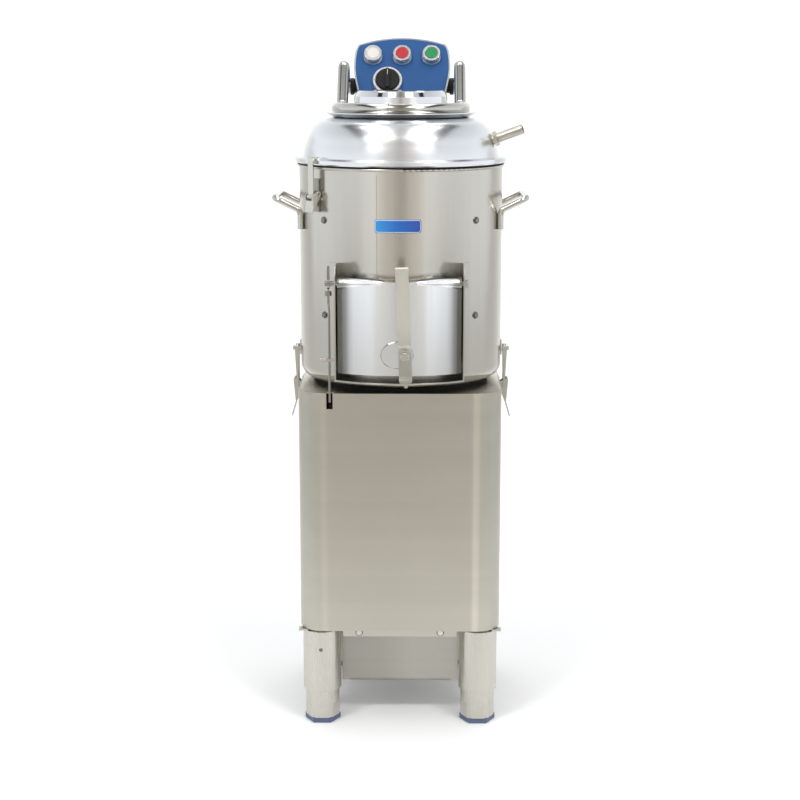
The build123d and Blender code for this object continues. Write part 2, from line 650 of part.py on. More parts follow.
# Interlock rod, cranked under the cam
rod_top = HINGE_Z - CAM_R0 - 0.9
with BuildPart() as interlock_rod:
    with BuildLine() as rod_path:
        FilletPolyline((ROD_X, ROD_Y, 540), (ROD_X, ROD_Y, 682), (ROD_X, HINGE_Y, 698),
                       (ROD_X, HINGE_Y, rod_top - 4), radius=6)
    with BuildSketch(Plane(origin=(ROD_X, ROD_Y, 540), z_dir=(0, 0, 1))):
        Circle(ROD_R)
    sweep(path=rod_path.line)
    with BuildSketch(Plane.XY.offset(rod_top - 4)):
        with Locations((ROD_X, HINGE_Y)):
            Circle(ROD_R)
    extrude(amount=4, taper=12)
    # hexagon stop collar near its top
    with BuildSketch(Plane.XY.offset(rod_top - 10)):
        with Locations((ROD_X, HINGE_Y)):
            RegularPolygon(5.4, 6)
    extrude(amount=7)
interlock_rod.part.label = "interlock_rod"
export_step(interlock_rod.part, "parts/interlock_rod.step")

with BuildPart() as microswitch:
    with BuildSketch(Plane.XY.offset(506)):
        with Locations((ROD_X, -151.5)):
            Rectangle(14, 14)
    extrude(amount=24)
    with BuildSketch(Plane.XY.offset(530)):
        with Locations((ROD_X, -151.5)):
            Rectangle(4, 6)
    extrude(amount=4.6)
    # bracket to the deck
    with BuildSketch(Plane.XY.offset(506)):
        with Locations((ROD_X, -143.5)):
            Rectangle(14, 2)
    extrude(amount=CAB_Z1 - 2.5 - 506)
microswitch.part.label = "microswitch"
export_step(microswitch.part, "parts/microswitch.step")

# =====================================================================
# Side toggle latches: catch on the drum, base on the cabinet, lever, bail
# =====================================================================
with BuildPart() as side_latch_brackets:
    for s in (-1, 1):
        with BuildSketch(Plane.XZ.offset(-8)):
            with BuildLine():
                Polyline((s * 160.0, 590), (s * 160.0, 615), (s * 167.0, 615), (s * 167.0, 601),
                         (s * 177.0, 601), (s * 177.0, 603.5), (s * 179.0, 603.5), (s * 179.0, 598),
                         (s * 167.0, 596), (s * 167.0, 590), close=True)
            make_face()
        extrude(amount=16)
    with BuildSketch(Plane.XY.offset(580)):
        Circle(DRUM_R)
    extrude(amount=40, mode=Mode.SUBTRACT)
    for s in (-1, 1):
        with BuildSketch(Plane.XZ.offset(-7)):
            with Locations((s * 163.0, 537)):
                Rectangle(2, 32)
        extrude(amount=14)
        for y0 in (-9.0, 7.0):
            with BuildSketch(Plane.XZ.offset(-y0 - 2)):
                with Locations((s * 167.0, 540)):
                    Circle(4.5)
                with Locations((s * 163.0, 540)):
                    Rectangle(2, 9)
                make_hull()
            extrude(amount=2)
        with BuildSketch(Plane.XZ.offset(-12)):
            with Locations((s * 167.0, 540)):
                Circle(2.0)
        extrude(amount=24)
side_latch_brackets.part.label = "side_latch_brackets"
export_step(side_latch_brackets.part, "parts/side_latch_brackets.step")

for tag, s in (("left", -1), ("right", 1)):
    with BuildPart() as side_latch_lever:
        for y0 in (-11.4, 9.4):
            with BuildSketch(Plane.XZ.offset(-y0 - 2)):
                with Locations((s * 167.0, 540)):
                    Circle(4.5)
                with Locations((s * 176.4, 548.5)):
                    Circle(2.0)
                with Locations((s * 173.6, 514)):
                    Circle(1.8)
                make_hull()
                with Locations((s * 167.0, 540)):
                    Circle(2.0 + RUN, mode=Mode.SUBTRACT)
                with Locations((s * 171.5, 536)):
                    Circle(1.75 + RUN, mode=Mode.SUBTRACT)
            extrude(amount=2)
        with BuildSketch(Plane.XZ.offset(-11.4)):
            with BuildLine():
                Polyline((s * 176.3, 550), (s * 172.6, 512), (s * 180.2, 486.5), (s * 182.2, 487.2),
                         (s * 175.0, 512), (s * 178.4, 550), close=True)
            make_face()
        extrude(amount=22.8)
    side_latch_lever.part.label = "side_latch_lever_" + tag
    export_step(side_latch_lever.part, "parts/side_latch_lever_" + tag + ".step")

    with BuildPart() as side_latch_bail:
        for y0 in (-14.5, 12.5):
            with BuildSketch(Plane.XZ.offset(-y0 - 2)):
                with BuildLine():
                    Polyline((s * 168.6, 605), (s * 175.8, 605), (s * 173.4, 560), (s * 173.4, 536),
                             (s * 169.6, 536), (s * 169.6, 560), close=True)
                make_face()
                with Locations((s * 171.5, 536)):
                    Circle(2.6)
            extrude(amount=2)
        # crossbar that lies behind the catch, and two pivot stubs
        with BuildSketch(Plane.XZ.offset(-13)):
            with Locations((s * 172.4, 602.9)):
                Circle(1.75)
        extrude(amount=26)
        for y0 in (-13.0, 9.6):
            with BuildSketch(Plane.XZ.offset(-y0 - 3.4)):
                with Locations((s * 171.5, 536)):
                    Circle(1.75)
            extrude(amount=3.4)
    side_latch_bail.part.label = "side_latch_bail_" + tag
    export_step(side_latch_bail.part, "parts/side_latch_bail_" + tag + ".step")

# =====================================================================
# Lid latch at the front left of the rim
# =====================================================================
la = math.radians(52)
LX, LY = -math.sin(la), -math.cos(la)
LATCH = Plane(origin=(0, 0, 0), x_dir=(LX, LY, 0), z_dir=(LY, -LX, 0))
with BuildPart() as lid_latch_base:
    with BuildSketch(LATCH.offset(-7)):
        with Locations((166.1, 860)):
            Rectangle(1.6, 52)
    extrude(amount=14)
    for y0 in (-9.0, 7.0):
        with BuildSketch(LATCH.offset(y0)):
            with Locations((170, 862)):
                Circle(4.5)
            with Locations((166.6, 862)):
                Rectangle(1.6, 9)
            make_hull()
        extrude(amount=2)
    with BuildSketch(LATCH.offset(-12)):
        with Locations((170, 862)):
            Circle(2.0)
    extrude(amount=24)
    with BuildSketch(Plane.XY.offset(810)):
        Circle(DRUM_R)
    extrude(amount=80, mode=Mode.SUBTRACT)
lid_latch_base.part.label = "lid_latch_base"
export_step(lid_latch_base.part, "parts/lid_latch_base.step")

with BuildPart() as lid_latch_lever:
    for y0 in (-11.4, 9.4):
        with BuildSketch(LATCH.offset(y0)):
            with Locations((170, 862)):
                Circle(4.5)
            with Locations((176.9, 858)):
                Circle(4.5)
            with Locations((178.6, 842)):
                Circle(2)
            make_hull()
            with Locations((170, 862)):
                Circle(2.0 + RUN, mode=Mode.SUBTRACT)
            with Locations((176.9, 858)):
                Circle(1.75 + RUN, mode=Mode.SUBTRACT)
        extrude(amount=2)
    with BuildSketch(LATCH.offset(-11.4)):
        with BuildLine():
            Polyline((178.6, 852), (178.6, 841), (181.0, 833), (182.8, 833.6), (180.6, 841.4), (180.6, 852), close=True)
        make_face()
    extrude(amount=22.8)
lid_latch_lever.part.label = "lid_latch_lever"
export_step(lid_latch_lever.part, "parts/lid_latch_lever.step")

with BuildPart() as lid_latch_strap:
    with BuildSketch(LATCH.offset(-6.8)):
        with BuildLine():
            Polyline((175.9, 858), (175.9, BRIM_Z1 + 0.3), (165.5, BRIM_Z1 + 0.3), (165.5, BRIM_Z1 + 2.6),
                     (177.9, BRIM_Z1 + 2.6), (177.9, 858), close=True)
        make_face()
        with Locations((176.9, 858)):
            Circle(3.6)
    extrude(amount=13.6)
    fillet(lid_latch_strap.edges().filter_by(lambda e: e.center().Z > BRIM_Z1 + 2.5 and
           (e.center().X ** 2 + e.center().Y ** 2) ** 0.5 > 177 and e.length > 10), 1.8)
    with BuildSketch(LATCH.offset(-11.3)):
        with Locations((176.9, 858)):
            Circle(1.75)
    extrude(amount=22.6)
lid_latch_strap.part.label = "lid_latch_strap"
export_step(lid_latch_strap.part, "parts/lid_latch_strap.step")

nt, nr = math.radians(NOZZLE_TURN), math.radians(NOZZLE_RISE)
nz = Plane(origin=(138 * math.cos(nt), -138 * math.sin(nt), 938.6),
           z_dir=(math.cos(nt) * math.cos(nr), -math.sin(nt) * math.cos(nr), math.sin(nr)))

# =====================================================================
# Domed lid, water nozzle, fill cap with hoop handle
# =====================================================================
outer = [(117.5, 977.1), (123, 975.4), (131.5, 971.6), (139, 965.6), (145, 957.8),
         (149.6, 949), (153, 938.5), (156.4, 927), (158.2, BRIM_Z1)]
inner = [(154.6, BRIM_Z1), (153, 927.6), (149.8, 937.8), (146.6, 947.2), (142.4, 955.2), (136.8, 962.4),
         (129.8, 967.9), (122, 971.6), (113.6, 973.9), (NECK_R, 974.6)]
with BuildPart() as dome_lid:
    with BuildSketch(Plane.XZ):
        with BuildLine():
            Polyline((inner[-1][0], inner[-1][1]), (90, 974.6), (90, NECK_Z), (98.5, NECK_Z), (100, NECK_Z - 1.5),
                     (101, 977.3), outer[0])
            Spline(*outer)
            Polyline(outer[-1], (168.5, BRIM_Z1), (BRIM_R, 914.5), (BRIM_R, 909.0), (169.5, BRIM_Z0),
                     (154.6, BRIM_Z0), inner[0])
            Spline(*inner)
        make_face()
    revolve(axis=Axis.Z)
    # hole for the water nozzle
    with BuildSketch(nz):
        Circle(7.8)
    extrude(amount=40, mode=Mode.SUBTRACT)
dome_lid.part.label = "dome_lid"
export_step(dome_lid.part, "parts/dome_lid.step")

with BuildPart() as water_nozzle:
    with BuildSketch(nz.offset(8)):
        Circle(7.8)
    extrude(amount=57)
    with BuildSketch(nz.offset(16.2)):
        RegularPolygon(10.5, 6, major_radius=False)
    extrude(amount=6)
    with BuildSketch(nz.offset(7)):
        Circle(5.6)
    extrude(amount=60, mode=Mode.SUBTRACT)
water_nozzle.part.label = "water_nozzle"
export_step(water_nozzle.part, "parts/water_nozzle.step")

with BuildPart() as fill_cap:
    with BuildSketch(Plane.XZ):
        with BuildLine():
            Polyline((0, CAP_Z0), (106.6, CAP_Z0), (108.3, CAP_Z0 - 2.8), (110, CAP_Z0 - 2.8), (123.2, CAP_Z0 + 4.0), (123.2, CAP_Z0 + 5.4),
                     (109.5, CAP_Z0 + 1.6), (88, CAP_Z0 + 2.0), (77.7, CAP_Z0 + 3),
                     (75.8, CAP_Z0 + 6), (75.0, 1011), (71.2, 1018.5), (68.7, 1020.2), (61, 1020.6),
                     (0, 1021.2), close=True)
        make_face()
    revolve(axis=Axis.Z)
    # hollow underside
    with BuildSketch(Plane.XY.offset(CAP_Z0 - 1)):
        Circle(68)
    extrude(amount=35, mode=Mode.SUBTRACT)
fill_cap.part.label = "fill_cap"
export_step(fill_cap.part, "parts/fill_cap.step")

# Hoop round the crown, running back as two arms to the pivot eyes
with BuildPart() as hoop_handle:
    with BuildLine() as hoop_arc:
        CenterArc((0, 0, HOOP_Z), HOOP_R, 168, 204)
    hs, hc = math.sin(math.radians(12)), math.cos(math.radians(12))
    with BuildSketch(Plane(origin=(-HOOP_R * hc, HOOP_R * hs, HOOP_Z), z_dir=(-hs, -hc, 0))):
        Circle(HOOP_TUBE)
    sweep(path=hoop_arc.line)
    for sx in (-1, 1):
        hx, hy = sx * HOOP_R * hc, HOOP_R * hs
        with BuildLine() as arm:
            FilletPolyline((hx, hy, HOOP_Z), (hx - sx * 18 * hs, hy + 18 * hc, HOOP_Z), (sx * ARM_X, 130, 1065.5),
                           (sx * ARM_X, PIVOT_Y, PIVOT_Z), radius=21)
        with BuildSketch(Plane(origin=(hx, hy, HOOP_Z), z_dir=(-sx * hs, hc, 0))):
            Circle(HOOP_TUBE)
        sweep(path=arm.line)
    for sx in (-1, 1):
        with BuildSketch(Plane.YZ.offset(sx * ARM_X - 9.5)):
            with Locations((PIVOT_Y, PIVOT_Z)):
                Circle(13)
        extrude(amount=19)
    with BuildSketch(Plane.YZ.offset(-120)):
        with Locations((PIVOT_Y, PIVOT_Z)):
            Circle(6 + RUN)
    extrude(amount=240, mode=Mode.SUBTRACT)
hoop_handle.part.label = "hoop_handle"
export_step(hoop_handle.part, "parts/hoop_handle.step")

with BuildPart() as hinge_bushes:
    for x0 in (-87.8, 82.2):
        with BuildSketch(Plane.YZ.offset(x0)):
            with Locations((PIVOT_Y, PIVOT_Z)):
                Circle(14.3)
                Circle(6.0, mode=Mode.SUBTRACT)
        extrude(amount=5.6)
hinge_bushes.part.label = "hinge_bushes"
export_step(hinge_bushes.part, "parts/hinge_bushes.step")

with BuildPart() as hinge_pins:
    for s in (-1, 1):
        with BuildSketch(Plane.YZ.offset(s * 68)):
            with Locations((PIVOT_Y, PIVOT_Z)):
                Circle(6.0)
        extrude(amount=s * 40)
        with BuildSketch(Plane.YZ.offset(s * 107.2)):
            with Locations((PIVOT_Y, PIVOT_Z)):
                Circle(8.5)
        extrude(amount=s * 1.6)
hinge_pins.part.label = "hinge_pins"
export_step(hinge_pins.part, "parts/hinge_pins.step")

# =====================================================================
# Control housing on its rear column
# =====================================================================
half = [(70, 0), (73.5, 10), (77.6, 28), (80.9, 46), (82.6, 62), (81.8, 84), (78.8, 100), (74.6, 108.3)]
ARCH = 121.0
with BuildPart() as control_housing:
    with BuildSketch(PANEL):
        with BuildLine():
            Line((-half[0][0], 0), half[0])
            Spline(*half)
            ThreePointArc(half[-1], (0, ARCH), (-half[-1][0], half[-1][1]))
            Spline(*[(-x, v) for x, v in reversed(half)])
        make_face()
    extrude(amount=-PANEL_DEPTH)
    fillet(control_housing.edges().filter_by(lambda e: e.center().Y > 178 and e.length > 60 and
           abs((e.center().Y - PANEL_Y) * -cs + (e.center().Z - PANEL_Z) * sn + PANEL_DEPTH) < 0.5), 5)
    # column behind the drum
    with BuildSketch(Plane.YZ.offset(-60)):
        with BuildLine():
            Polyline((178, 455), (226, 455), (226, 1083), (184, 1010), (178, 990), close=True)
        make_face()
    extrude(amount=120)
    # foot block on the cabinet
    with BuildSketch(Plane.YZ.offset(-50)):
        with Locations((170, 500)):
            Rectangle(16, 60)
    extrude(amount=100)
    # pivot bosses
    for x0 in (-82.2, 60):
        with BuildSketch(Plane.YZ.offset(x0)):
            with Locations((PIVOT_Y + 2, PIVOT_Z)):
                Circle(10.2)
        extrude(amount=22.2)
    # hollow: behind the panel, and the duct
    with BuildSketch(PANEL.offset(1)):
        with BuildLine():
            Line((-half[0][0] + 2.2, 2.2), (half[0][0] - 2.2, 2.2))
            Spline(*([(half[0][0] - 2.2, 2.2)] + [(x - 2.2, v) for x, v in half[1:-1]] + [(72.8, 106.4)]))
            ThreePointArc((72.8, 106.4), (0, ARCH - 2.2), (-72.8, 106.4))
            Spline(*([(-72.8, 106.4)] + [(2.2 - x, v) for x, v in reversed(half[1:-1])] + [(-half[0][0] + 2.2, 2.2)]))
        make_face()
    extrude(amount=-PANEL_DEPTH + 1, mode=Mode.SUBTRACT)
    with BuildSketch(Plane.YZ.offset(-57)):
        with BuildLine():
            Polyline((180.5, 450), (223, 450), (223, 1060), (192, 1006), (180.5, 988), close=True)
        make_face()
    extrude(amount=114, mode=Mode.SUBTRACT)
    with BuildSketch(Plane.YZ.offset(-120)):
        with Locations((PIVOT_Y, PIVOT_Z)):
            Circle(6.0)
    extrude(amount=240, mode=Mode.SUBTRACT)
control_housing.part.label = "control_housing"
export_step(control_housing.part, "parts/control_housing.step")

with BuildPart() as control_panel:
    with BuildSketch(PANEL.offset(-2.5)):
        with BuildLine():
            Line((-half[0][0] + 2.3, 2.3), (half[0][0] - 2.3, 2.3))
            Spline(*([(half[0][0] - 2.3, 2.3)] + [(x - 2.3, v) for x, v in half[1:-1]] + [(72.7, 106.3)]))
            ThreePointArc((72.7, 106.3), (0, ARCH - 2.3), (-72.7, 106.3))
            Spline(*([(-72.7, 106.3)] + [(2.3 - x, v) for x, v in reversed(half[1:-1])] + [(-half[0][0] + 2.3, 2.3)]))
        make_face()
        with Locations((-BUTTON_PITCH, BUTTON_V), (0, BUTTON_V), (BUTTON_PITCH, BUTTON_V)):
            Circle(11.3, mode=Mode.SUBTRACT)
        with Locations((TIMER_X, TIMER_V)):
            Circle(3.05, mode=Mode.SUBTRACT)
    extrude(amount=2.5)
    # raised dial ring of the timer
    with BuildSketch(PANEL):
        with Locations((TIMER_X, TIMER_V)):
            Circle(25)
            Circle(3.05, mode=Mode.SUBTRACT)
    extrude(amount=1.2)
    with BuildSketch(PANEL.offset(1.2)):
        with Locations((TIMER_X, TIMER_V)):
            Circle(25)
            Circle(20.8, mode=Mode.SUBTRACT)
    extrude(amount=4.8)
control_panel.part.label = "control_panel"
export_step(control_panel.part, "parts/control_panel.step")

with BuildPart() as button_bezels:
    with BuildSketch(PANEL):
        with Locations((-BUTTON_PITCH, BUTTON_V), (0, BUTTON_V), (BUTTON_PITCH, BUTTON_V)):
            Circle(14.8)
            Circle(11.3, mode=Mode.SUBTRACT)
    extrude(amount=BUTTON_H)
button_bezels.part.label = "button_bezels"
export_step(button_bezels.part, "parts/button_bezels.step")

for nm, bx in (("pilot_lamp", -BUTTON_PITCH), ("stop_button", 0.0), ("start_button", BUTTON_PITCH)):
    with BuildPart() as cap_piece:
        with BuildSketch(PANEL.offset(-6)):
            with Locations((bx, BUTTON_V)):
                Circle(11.22)
        extrude(amount=6.0 + BUTTON_H + 0.4)
        fillet(cap_piece.edges().filter_by(GeomType.CIRCLE).sort_by(lambda e: e.center().Y)[0], 2.0)
    cap_piece.part.label = nm
    export_step(cap_piece.part, "parts/" + nm + ".step")

with BuildPart() as timer_knob:
    with BuildSketch(PANEL.offset(1.5)):
        with Locations((TIMER_X, TIMER_V)):
            Circle(20.0)
    extrude(amount=9.0)
    fillet(timer_knob.edges().filter_by(GeomType.CIRCLE).sort_by(lambda e: e.center().Y)[0], 1.5)
    # grip bar
    with BuildSketch(PANEL.offset(10.0)):
        with Locations((TIMER_X, TIMER_V)):
            SlotOverall(36, 8, rotation=90)
    extrude(amount=5)
    with BuildSketch(PANEL.offset(-14)):
        with Locations((TIMER_X, TIMER_V)):
            Circle(3.0)
    extrude(amount=16)
timer_knob.part.label = "timer_knob"
export_step(timer_knob.part, "parts/timer_knob.step")

# Cable gland in the service panel
with BuildPart() as cable_gland:
    with BuildSketch(Plane.XZ.offset(-CAB_HALF + 6)):
        with Locations((70, 205)):
            Circle(8.0)
    extrude(amount=-10)
    with BuildSketch(Plane.XZ.offset(-CAB_HALF - 1.5)):
        with Locations((70, 205)):
            RegularPolygon(11, 6, major_radius=False)
    extrude(amount=-8)
    with BuildSketch(Plane.XZ.offset(-CAB_HALF - 9.5)):
        with Locations((70, 205)):
            Circle(9)
    extrude(amount=-12, taper=6)
    with BuildSketch(Plane.XZ.offset(-CAB_HALF + 8)):
        with Locations((70, 205)):
            Circle(4.5)
    extrude(amount=-40, mode=Mode.SUBTRACT)
cable_gland.part.label = "cable_gland"
export_step(cable_gland.part, "parts/cable_gland.step")
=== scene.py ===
import math
import bpy
import bmesh
from mathutils import Matrix, Vector


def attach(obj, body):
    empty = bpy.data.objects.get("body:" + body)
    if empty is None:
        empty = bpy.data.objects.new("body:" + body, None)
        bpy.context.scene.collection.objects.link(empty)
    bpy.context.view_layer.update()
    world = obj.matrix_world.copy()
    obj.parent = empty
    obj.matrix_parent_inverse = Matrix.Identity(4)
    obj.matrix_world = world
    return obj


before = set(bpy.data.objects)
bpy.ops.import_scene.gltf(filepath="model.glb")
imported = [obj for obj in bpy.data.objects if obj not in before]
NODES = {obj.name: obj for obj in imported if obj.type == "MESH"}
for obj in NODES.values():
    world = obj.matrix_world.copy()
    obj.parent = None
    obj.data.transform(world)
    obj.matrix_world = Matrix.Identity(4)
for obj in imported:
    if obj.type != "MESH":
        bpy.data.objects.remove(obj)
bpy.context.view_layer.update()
scene = bpy.context.scene
scene.view_settings.view_transform = "Standard"

# ---------------------------------------------------------------- camera
AIM = Vector((0.0, 0.0, 0.5112))
PITCH, AZ, DIST = math.radians(11.5), math.radians(0.7), 2.76
cam_data = bpy.data.cameras.new("camera")
cam_data.lens = 74.25
cam_data.sensor_width = 36.0
cam_data.clip_end = 50.0
cam_data.shift_x = -0.0011
cam = bpy.data.objects.new("camera", cam_data)
scene.collection.objects.link(cam)
cam.location = AIM + DIST * Vector((math.sin(AZ) * math.cos(PITCH), -math.cos(AZ) * math.cos(PITCH), math.sin(PITCH)))
cam.rotation_euler = (AIM - cam.location).to_track_quat("-Z", "Y").to_euler()
scene.camera = cam


# ---------------------------------------------------------------- node helpers
def new_mat(name):
    m = bpy.data.materials.new(name)
    m.use_nodes = True
    nt = m.node_tree
    bsdf = nt.nodes.get("Principled BSDF")
    return m, nt, bsdf


def n(nt, kind, **kw):
    node = nt.nodes.new(kind)
    for k, v in kw.items():
        if k.startswith("in_"):
            node.inputs[k[3:].replace("_", " ")].default_value = v
        else:
            setattr(node, k, v)
    return node


def ramp(nt, stops, src):
    r = nt.nodes.new("ShaderNodeValToRGB")
    el = r.color_ramp.elements
    while len(el) < len(stops):
        el.new(0.5)
    for e, (p, c) in zip(el, stops):
        e.position = p
        e.color = c if len(c) == 4 else (*c, 1.0)
    nt.links.new(src, r.inputs["Fac"])
    return r.outputs["Color"]


def coords(nt, scale=(1, 1, 1), rot=(0, 0, 0)):
    tc = nt.nodes.new("ShaderNodeTexCoord")
    mp = nt.nodes.new("ShaderNodeMapping")
    mp.inputs["Scale"].default_value = scale
    mp.inputs["Rotation"].default_value = rot
    nt.links.new(tc.outputs["Object"], mp.inputs["Vector"])
    return mp.outputs["Vector"]


def noise(nt, vec, scale, detail=3.0, rough=0.5):
    t = nt.nodes.new("ShaderNodeTexNoise")
    t.inputs["Scale"].default_value = scale
    t.inputs["Detail"].default_value = detail
    t.inputs["Roughness"].default_value = rough
    nt.links.new(vec, t.inputs["Vector"])
    return t.outputs["Fac"]


def mathn(nt, op, a, b=None):
    t = nt.nodes.new("ShaderNodeMath")
    t.operation = op
    for i, v in enumerate((a, b)):
        if v is None:
            continue
        if isinstance(v, (int, float)):
            t.inputs[i].default_value = v
        else:
            nt.links.new(v, t.inputs[i])
    return t.outputs[0]


def bump(nt, bsdf, height, strength, distance, bevel=0.0):
    b = nt.nodes.new("ShaderNodeBump")
    b.inputs["Strength"].default_value = strength
    b.inputs["Distance"].default_value = distance
    nt.links.new(height, b.inputs["Height"])
    if bevel:
        bv = nt.nodes.new("ShaderNodeBevel")
        bv.samples = 4
        bv.inputs["Radius"].default_value = bevel
        nt.links.new(bv.outputs["Normal"], b.inputs["Normal"])
    nt.links.new(b.outputs["Normal"], bsdf.inputs["Normal"])


def grain_steel(name, color, rough, grain="z", strength=0.25, bevel=0.0006, var=0.05, smudge=0.05):
    """Brushed metal: fine grain stretched along one axis, cloudy variation and smudges."""
    m, nt, bsdf = new_mat(name)
    bsdf.inputs["Metallic"].default_value = 1.0
    stretch = {"z": (260, 260, 5), "x": (5, 260, 260), "y": (260, 5, 260)}[grain]
    g = noise(nt, coords(nt, stretch), 1.0, 4.0, 0.6)
    streak = noise(nt, coords(nt, tuple(s * 0.16 for s in stretch)), 1.0, 2.0)
    cloud = noise(nt, coords(nt, (5, 5, 3)), 1.0, 3.0, 0.55)
    f = mathn(nt, "ADD", mathn(nt, "MULTIPLY", streak, 0.5), mathn(nt, "MULTIPLY", cloud, 0.5))
    lo = tuple(c * (1 - var) for c in color)
    hi = tuple(min(1.0, c * (1 + var)) for c in color)
    nt.links.new(ramp(nt, [(0.3, lo), (0.7, hi)], f), bsdf.inputs["Base Color"])
    r = mathn(nt, "ADD", mathn(nt, "MULTIPLY", g, 0.12), mathn(nt, "MULTIPLY", cloud, smudge * 2))
    r = mathn(nt, "ADD", r, rough - 0.06 - smudge)
    nt.links.new(r, bsdf.inputs["Roughness"])
    bump(nt, bsdf, g, strength, 0.0002, bevel)
    return m


def spun_metal(name, color, rough, bevel=0.0005, lines=900.0, strength=0.12, var=0.03, lo=None):
    """Turned or spun metal: fine rings about the Z axis."""
    m, nt, bsdf = new_mat(name)
    bsdf.inputs["Metallic"].default_value = 1.0
    tc = nt.nodes.new("ShaderNodeTexCoord")
    sep = nt.nodes.new("ShaderNodeSeparateXYZ")
    nt.links.new(tc.outputs["Object"], sep.inputs[0])
    rr = mathn(nt, "SQRT", mathn(nt, "ADD", mathn(nt, "MULTIPLY", sep.outputs[0], sep.outputs[0]),
                                 mathn(nt, "MULTIPLY", sep.outputs[1], sep.outputs[1])))
    comb = nt.nodes.new("ShaderNodeCombineXYZ")
    nt.links.new(mathn(nt, "MULTIPLY", rr, lines), comb.inputs[0])
    nt.links.new(mathn(nt, "MULTIPLY", sep.outputs[2], lines), comb.inputs[1])
    g = noise(nt, comb.outputs[0], 1.0, 3.0, 0.6)
    cloud = noise(nt, coords(nt, (9, 9, 9)), 1.0, 3.0)
    lo_c = lo or tuple(c * (1 - var) for c in color)
    nt.links.new(ramp(nt, [(0.35, lo_c), (0.7, color)], cloud), bsdf.inputs["Base Color"])
    r = mathn(nt, "ADD", mathn(nt, "MULTIPLY", g, 0.10), mathn(nt, "MULTIPLY", cloud, 0.08))
    nt.links.new(mathn(nt, "ADD", r, rough - 0.09), bsdf.inputs["Roughness"])
    bump(nt, bsdf, g, strength, 0.0002, bevel)
    return m


def plain(name, color, rough, metallic=0.0, grainy=0.15, gscale=900, var=0.06, bevel=0.0004, coat=0.0, gdist=0.0002, spec=0.5):
    """Moulded plastic, rubber or paint: fine texture, slight colour variation."""
    m, nt, bsdf = new_mat(name)
    bsdf.inputs["Metallic"].default_value = metallic
    bsdf.inputs["Coat Weight"].default_value = coat
    bsdf.inputs["Coat Roughness"].default_value = 0.12
    bsdf.inputs["Specular IOR Level"].default_value = spec
    g = noise(nt, coords(nt), gscale, 2.0)
    cloud = noise(nt, coords(nt), 25.0, 3.0)
    lo = tuple(c * (1 - var) for c in color)
    hi = tuple(min(1.0, c * (1 + var)) for c in color)
    nt.links.new(ramp(nt, [(0.3, lo), (0.7, hi)], cloud), bsdf.inputs["Base Color"])
    nt.links.new(mathn(nt, "ADD", mathn(nt, "MULTIPLY", cloud, 0.12), rough - 0.06), bsdf.inputs["Roughness"])
    bump(nt, bsdf, g, grainy, gdist, bevel)
    return m


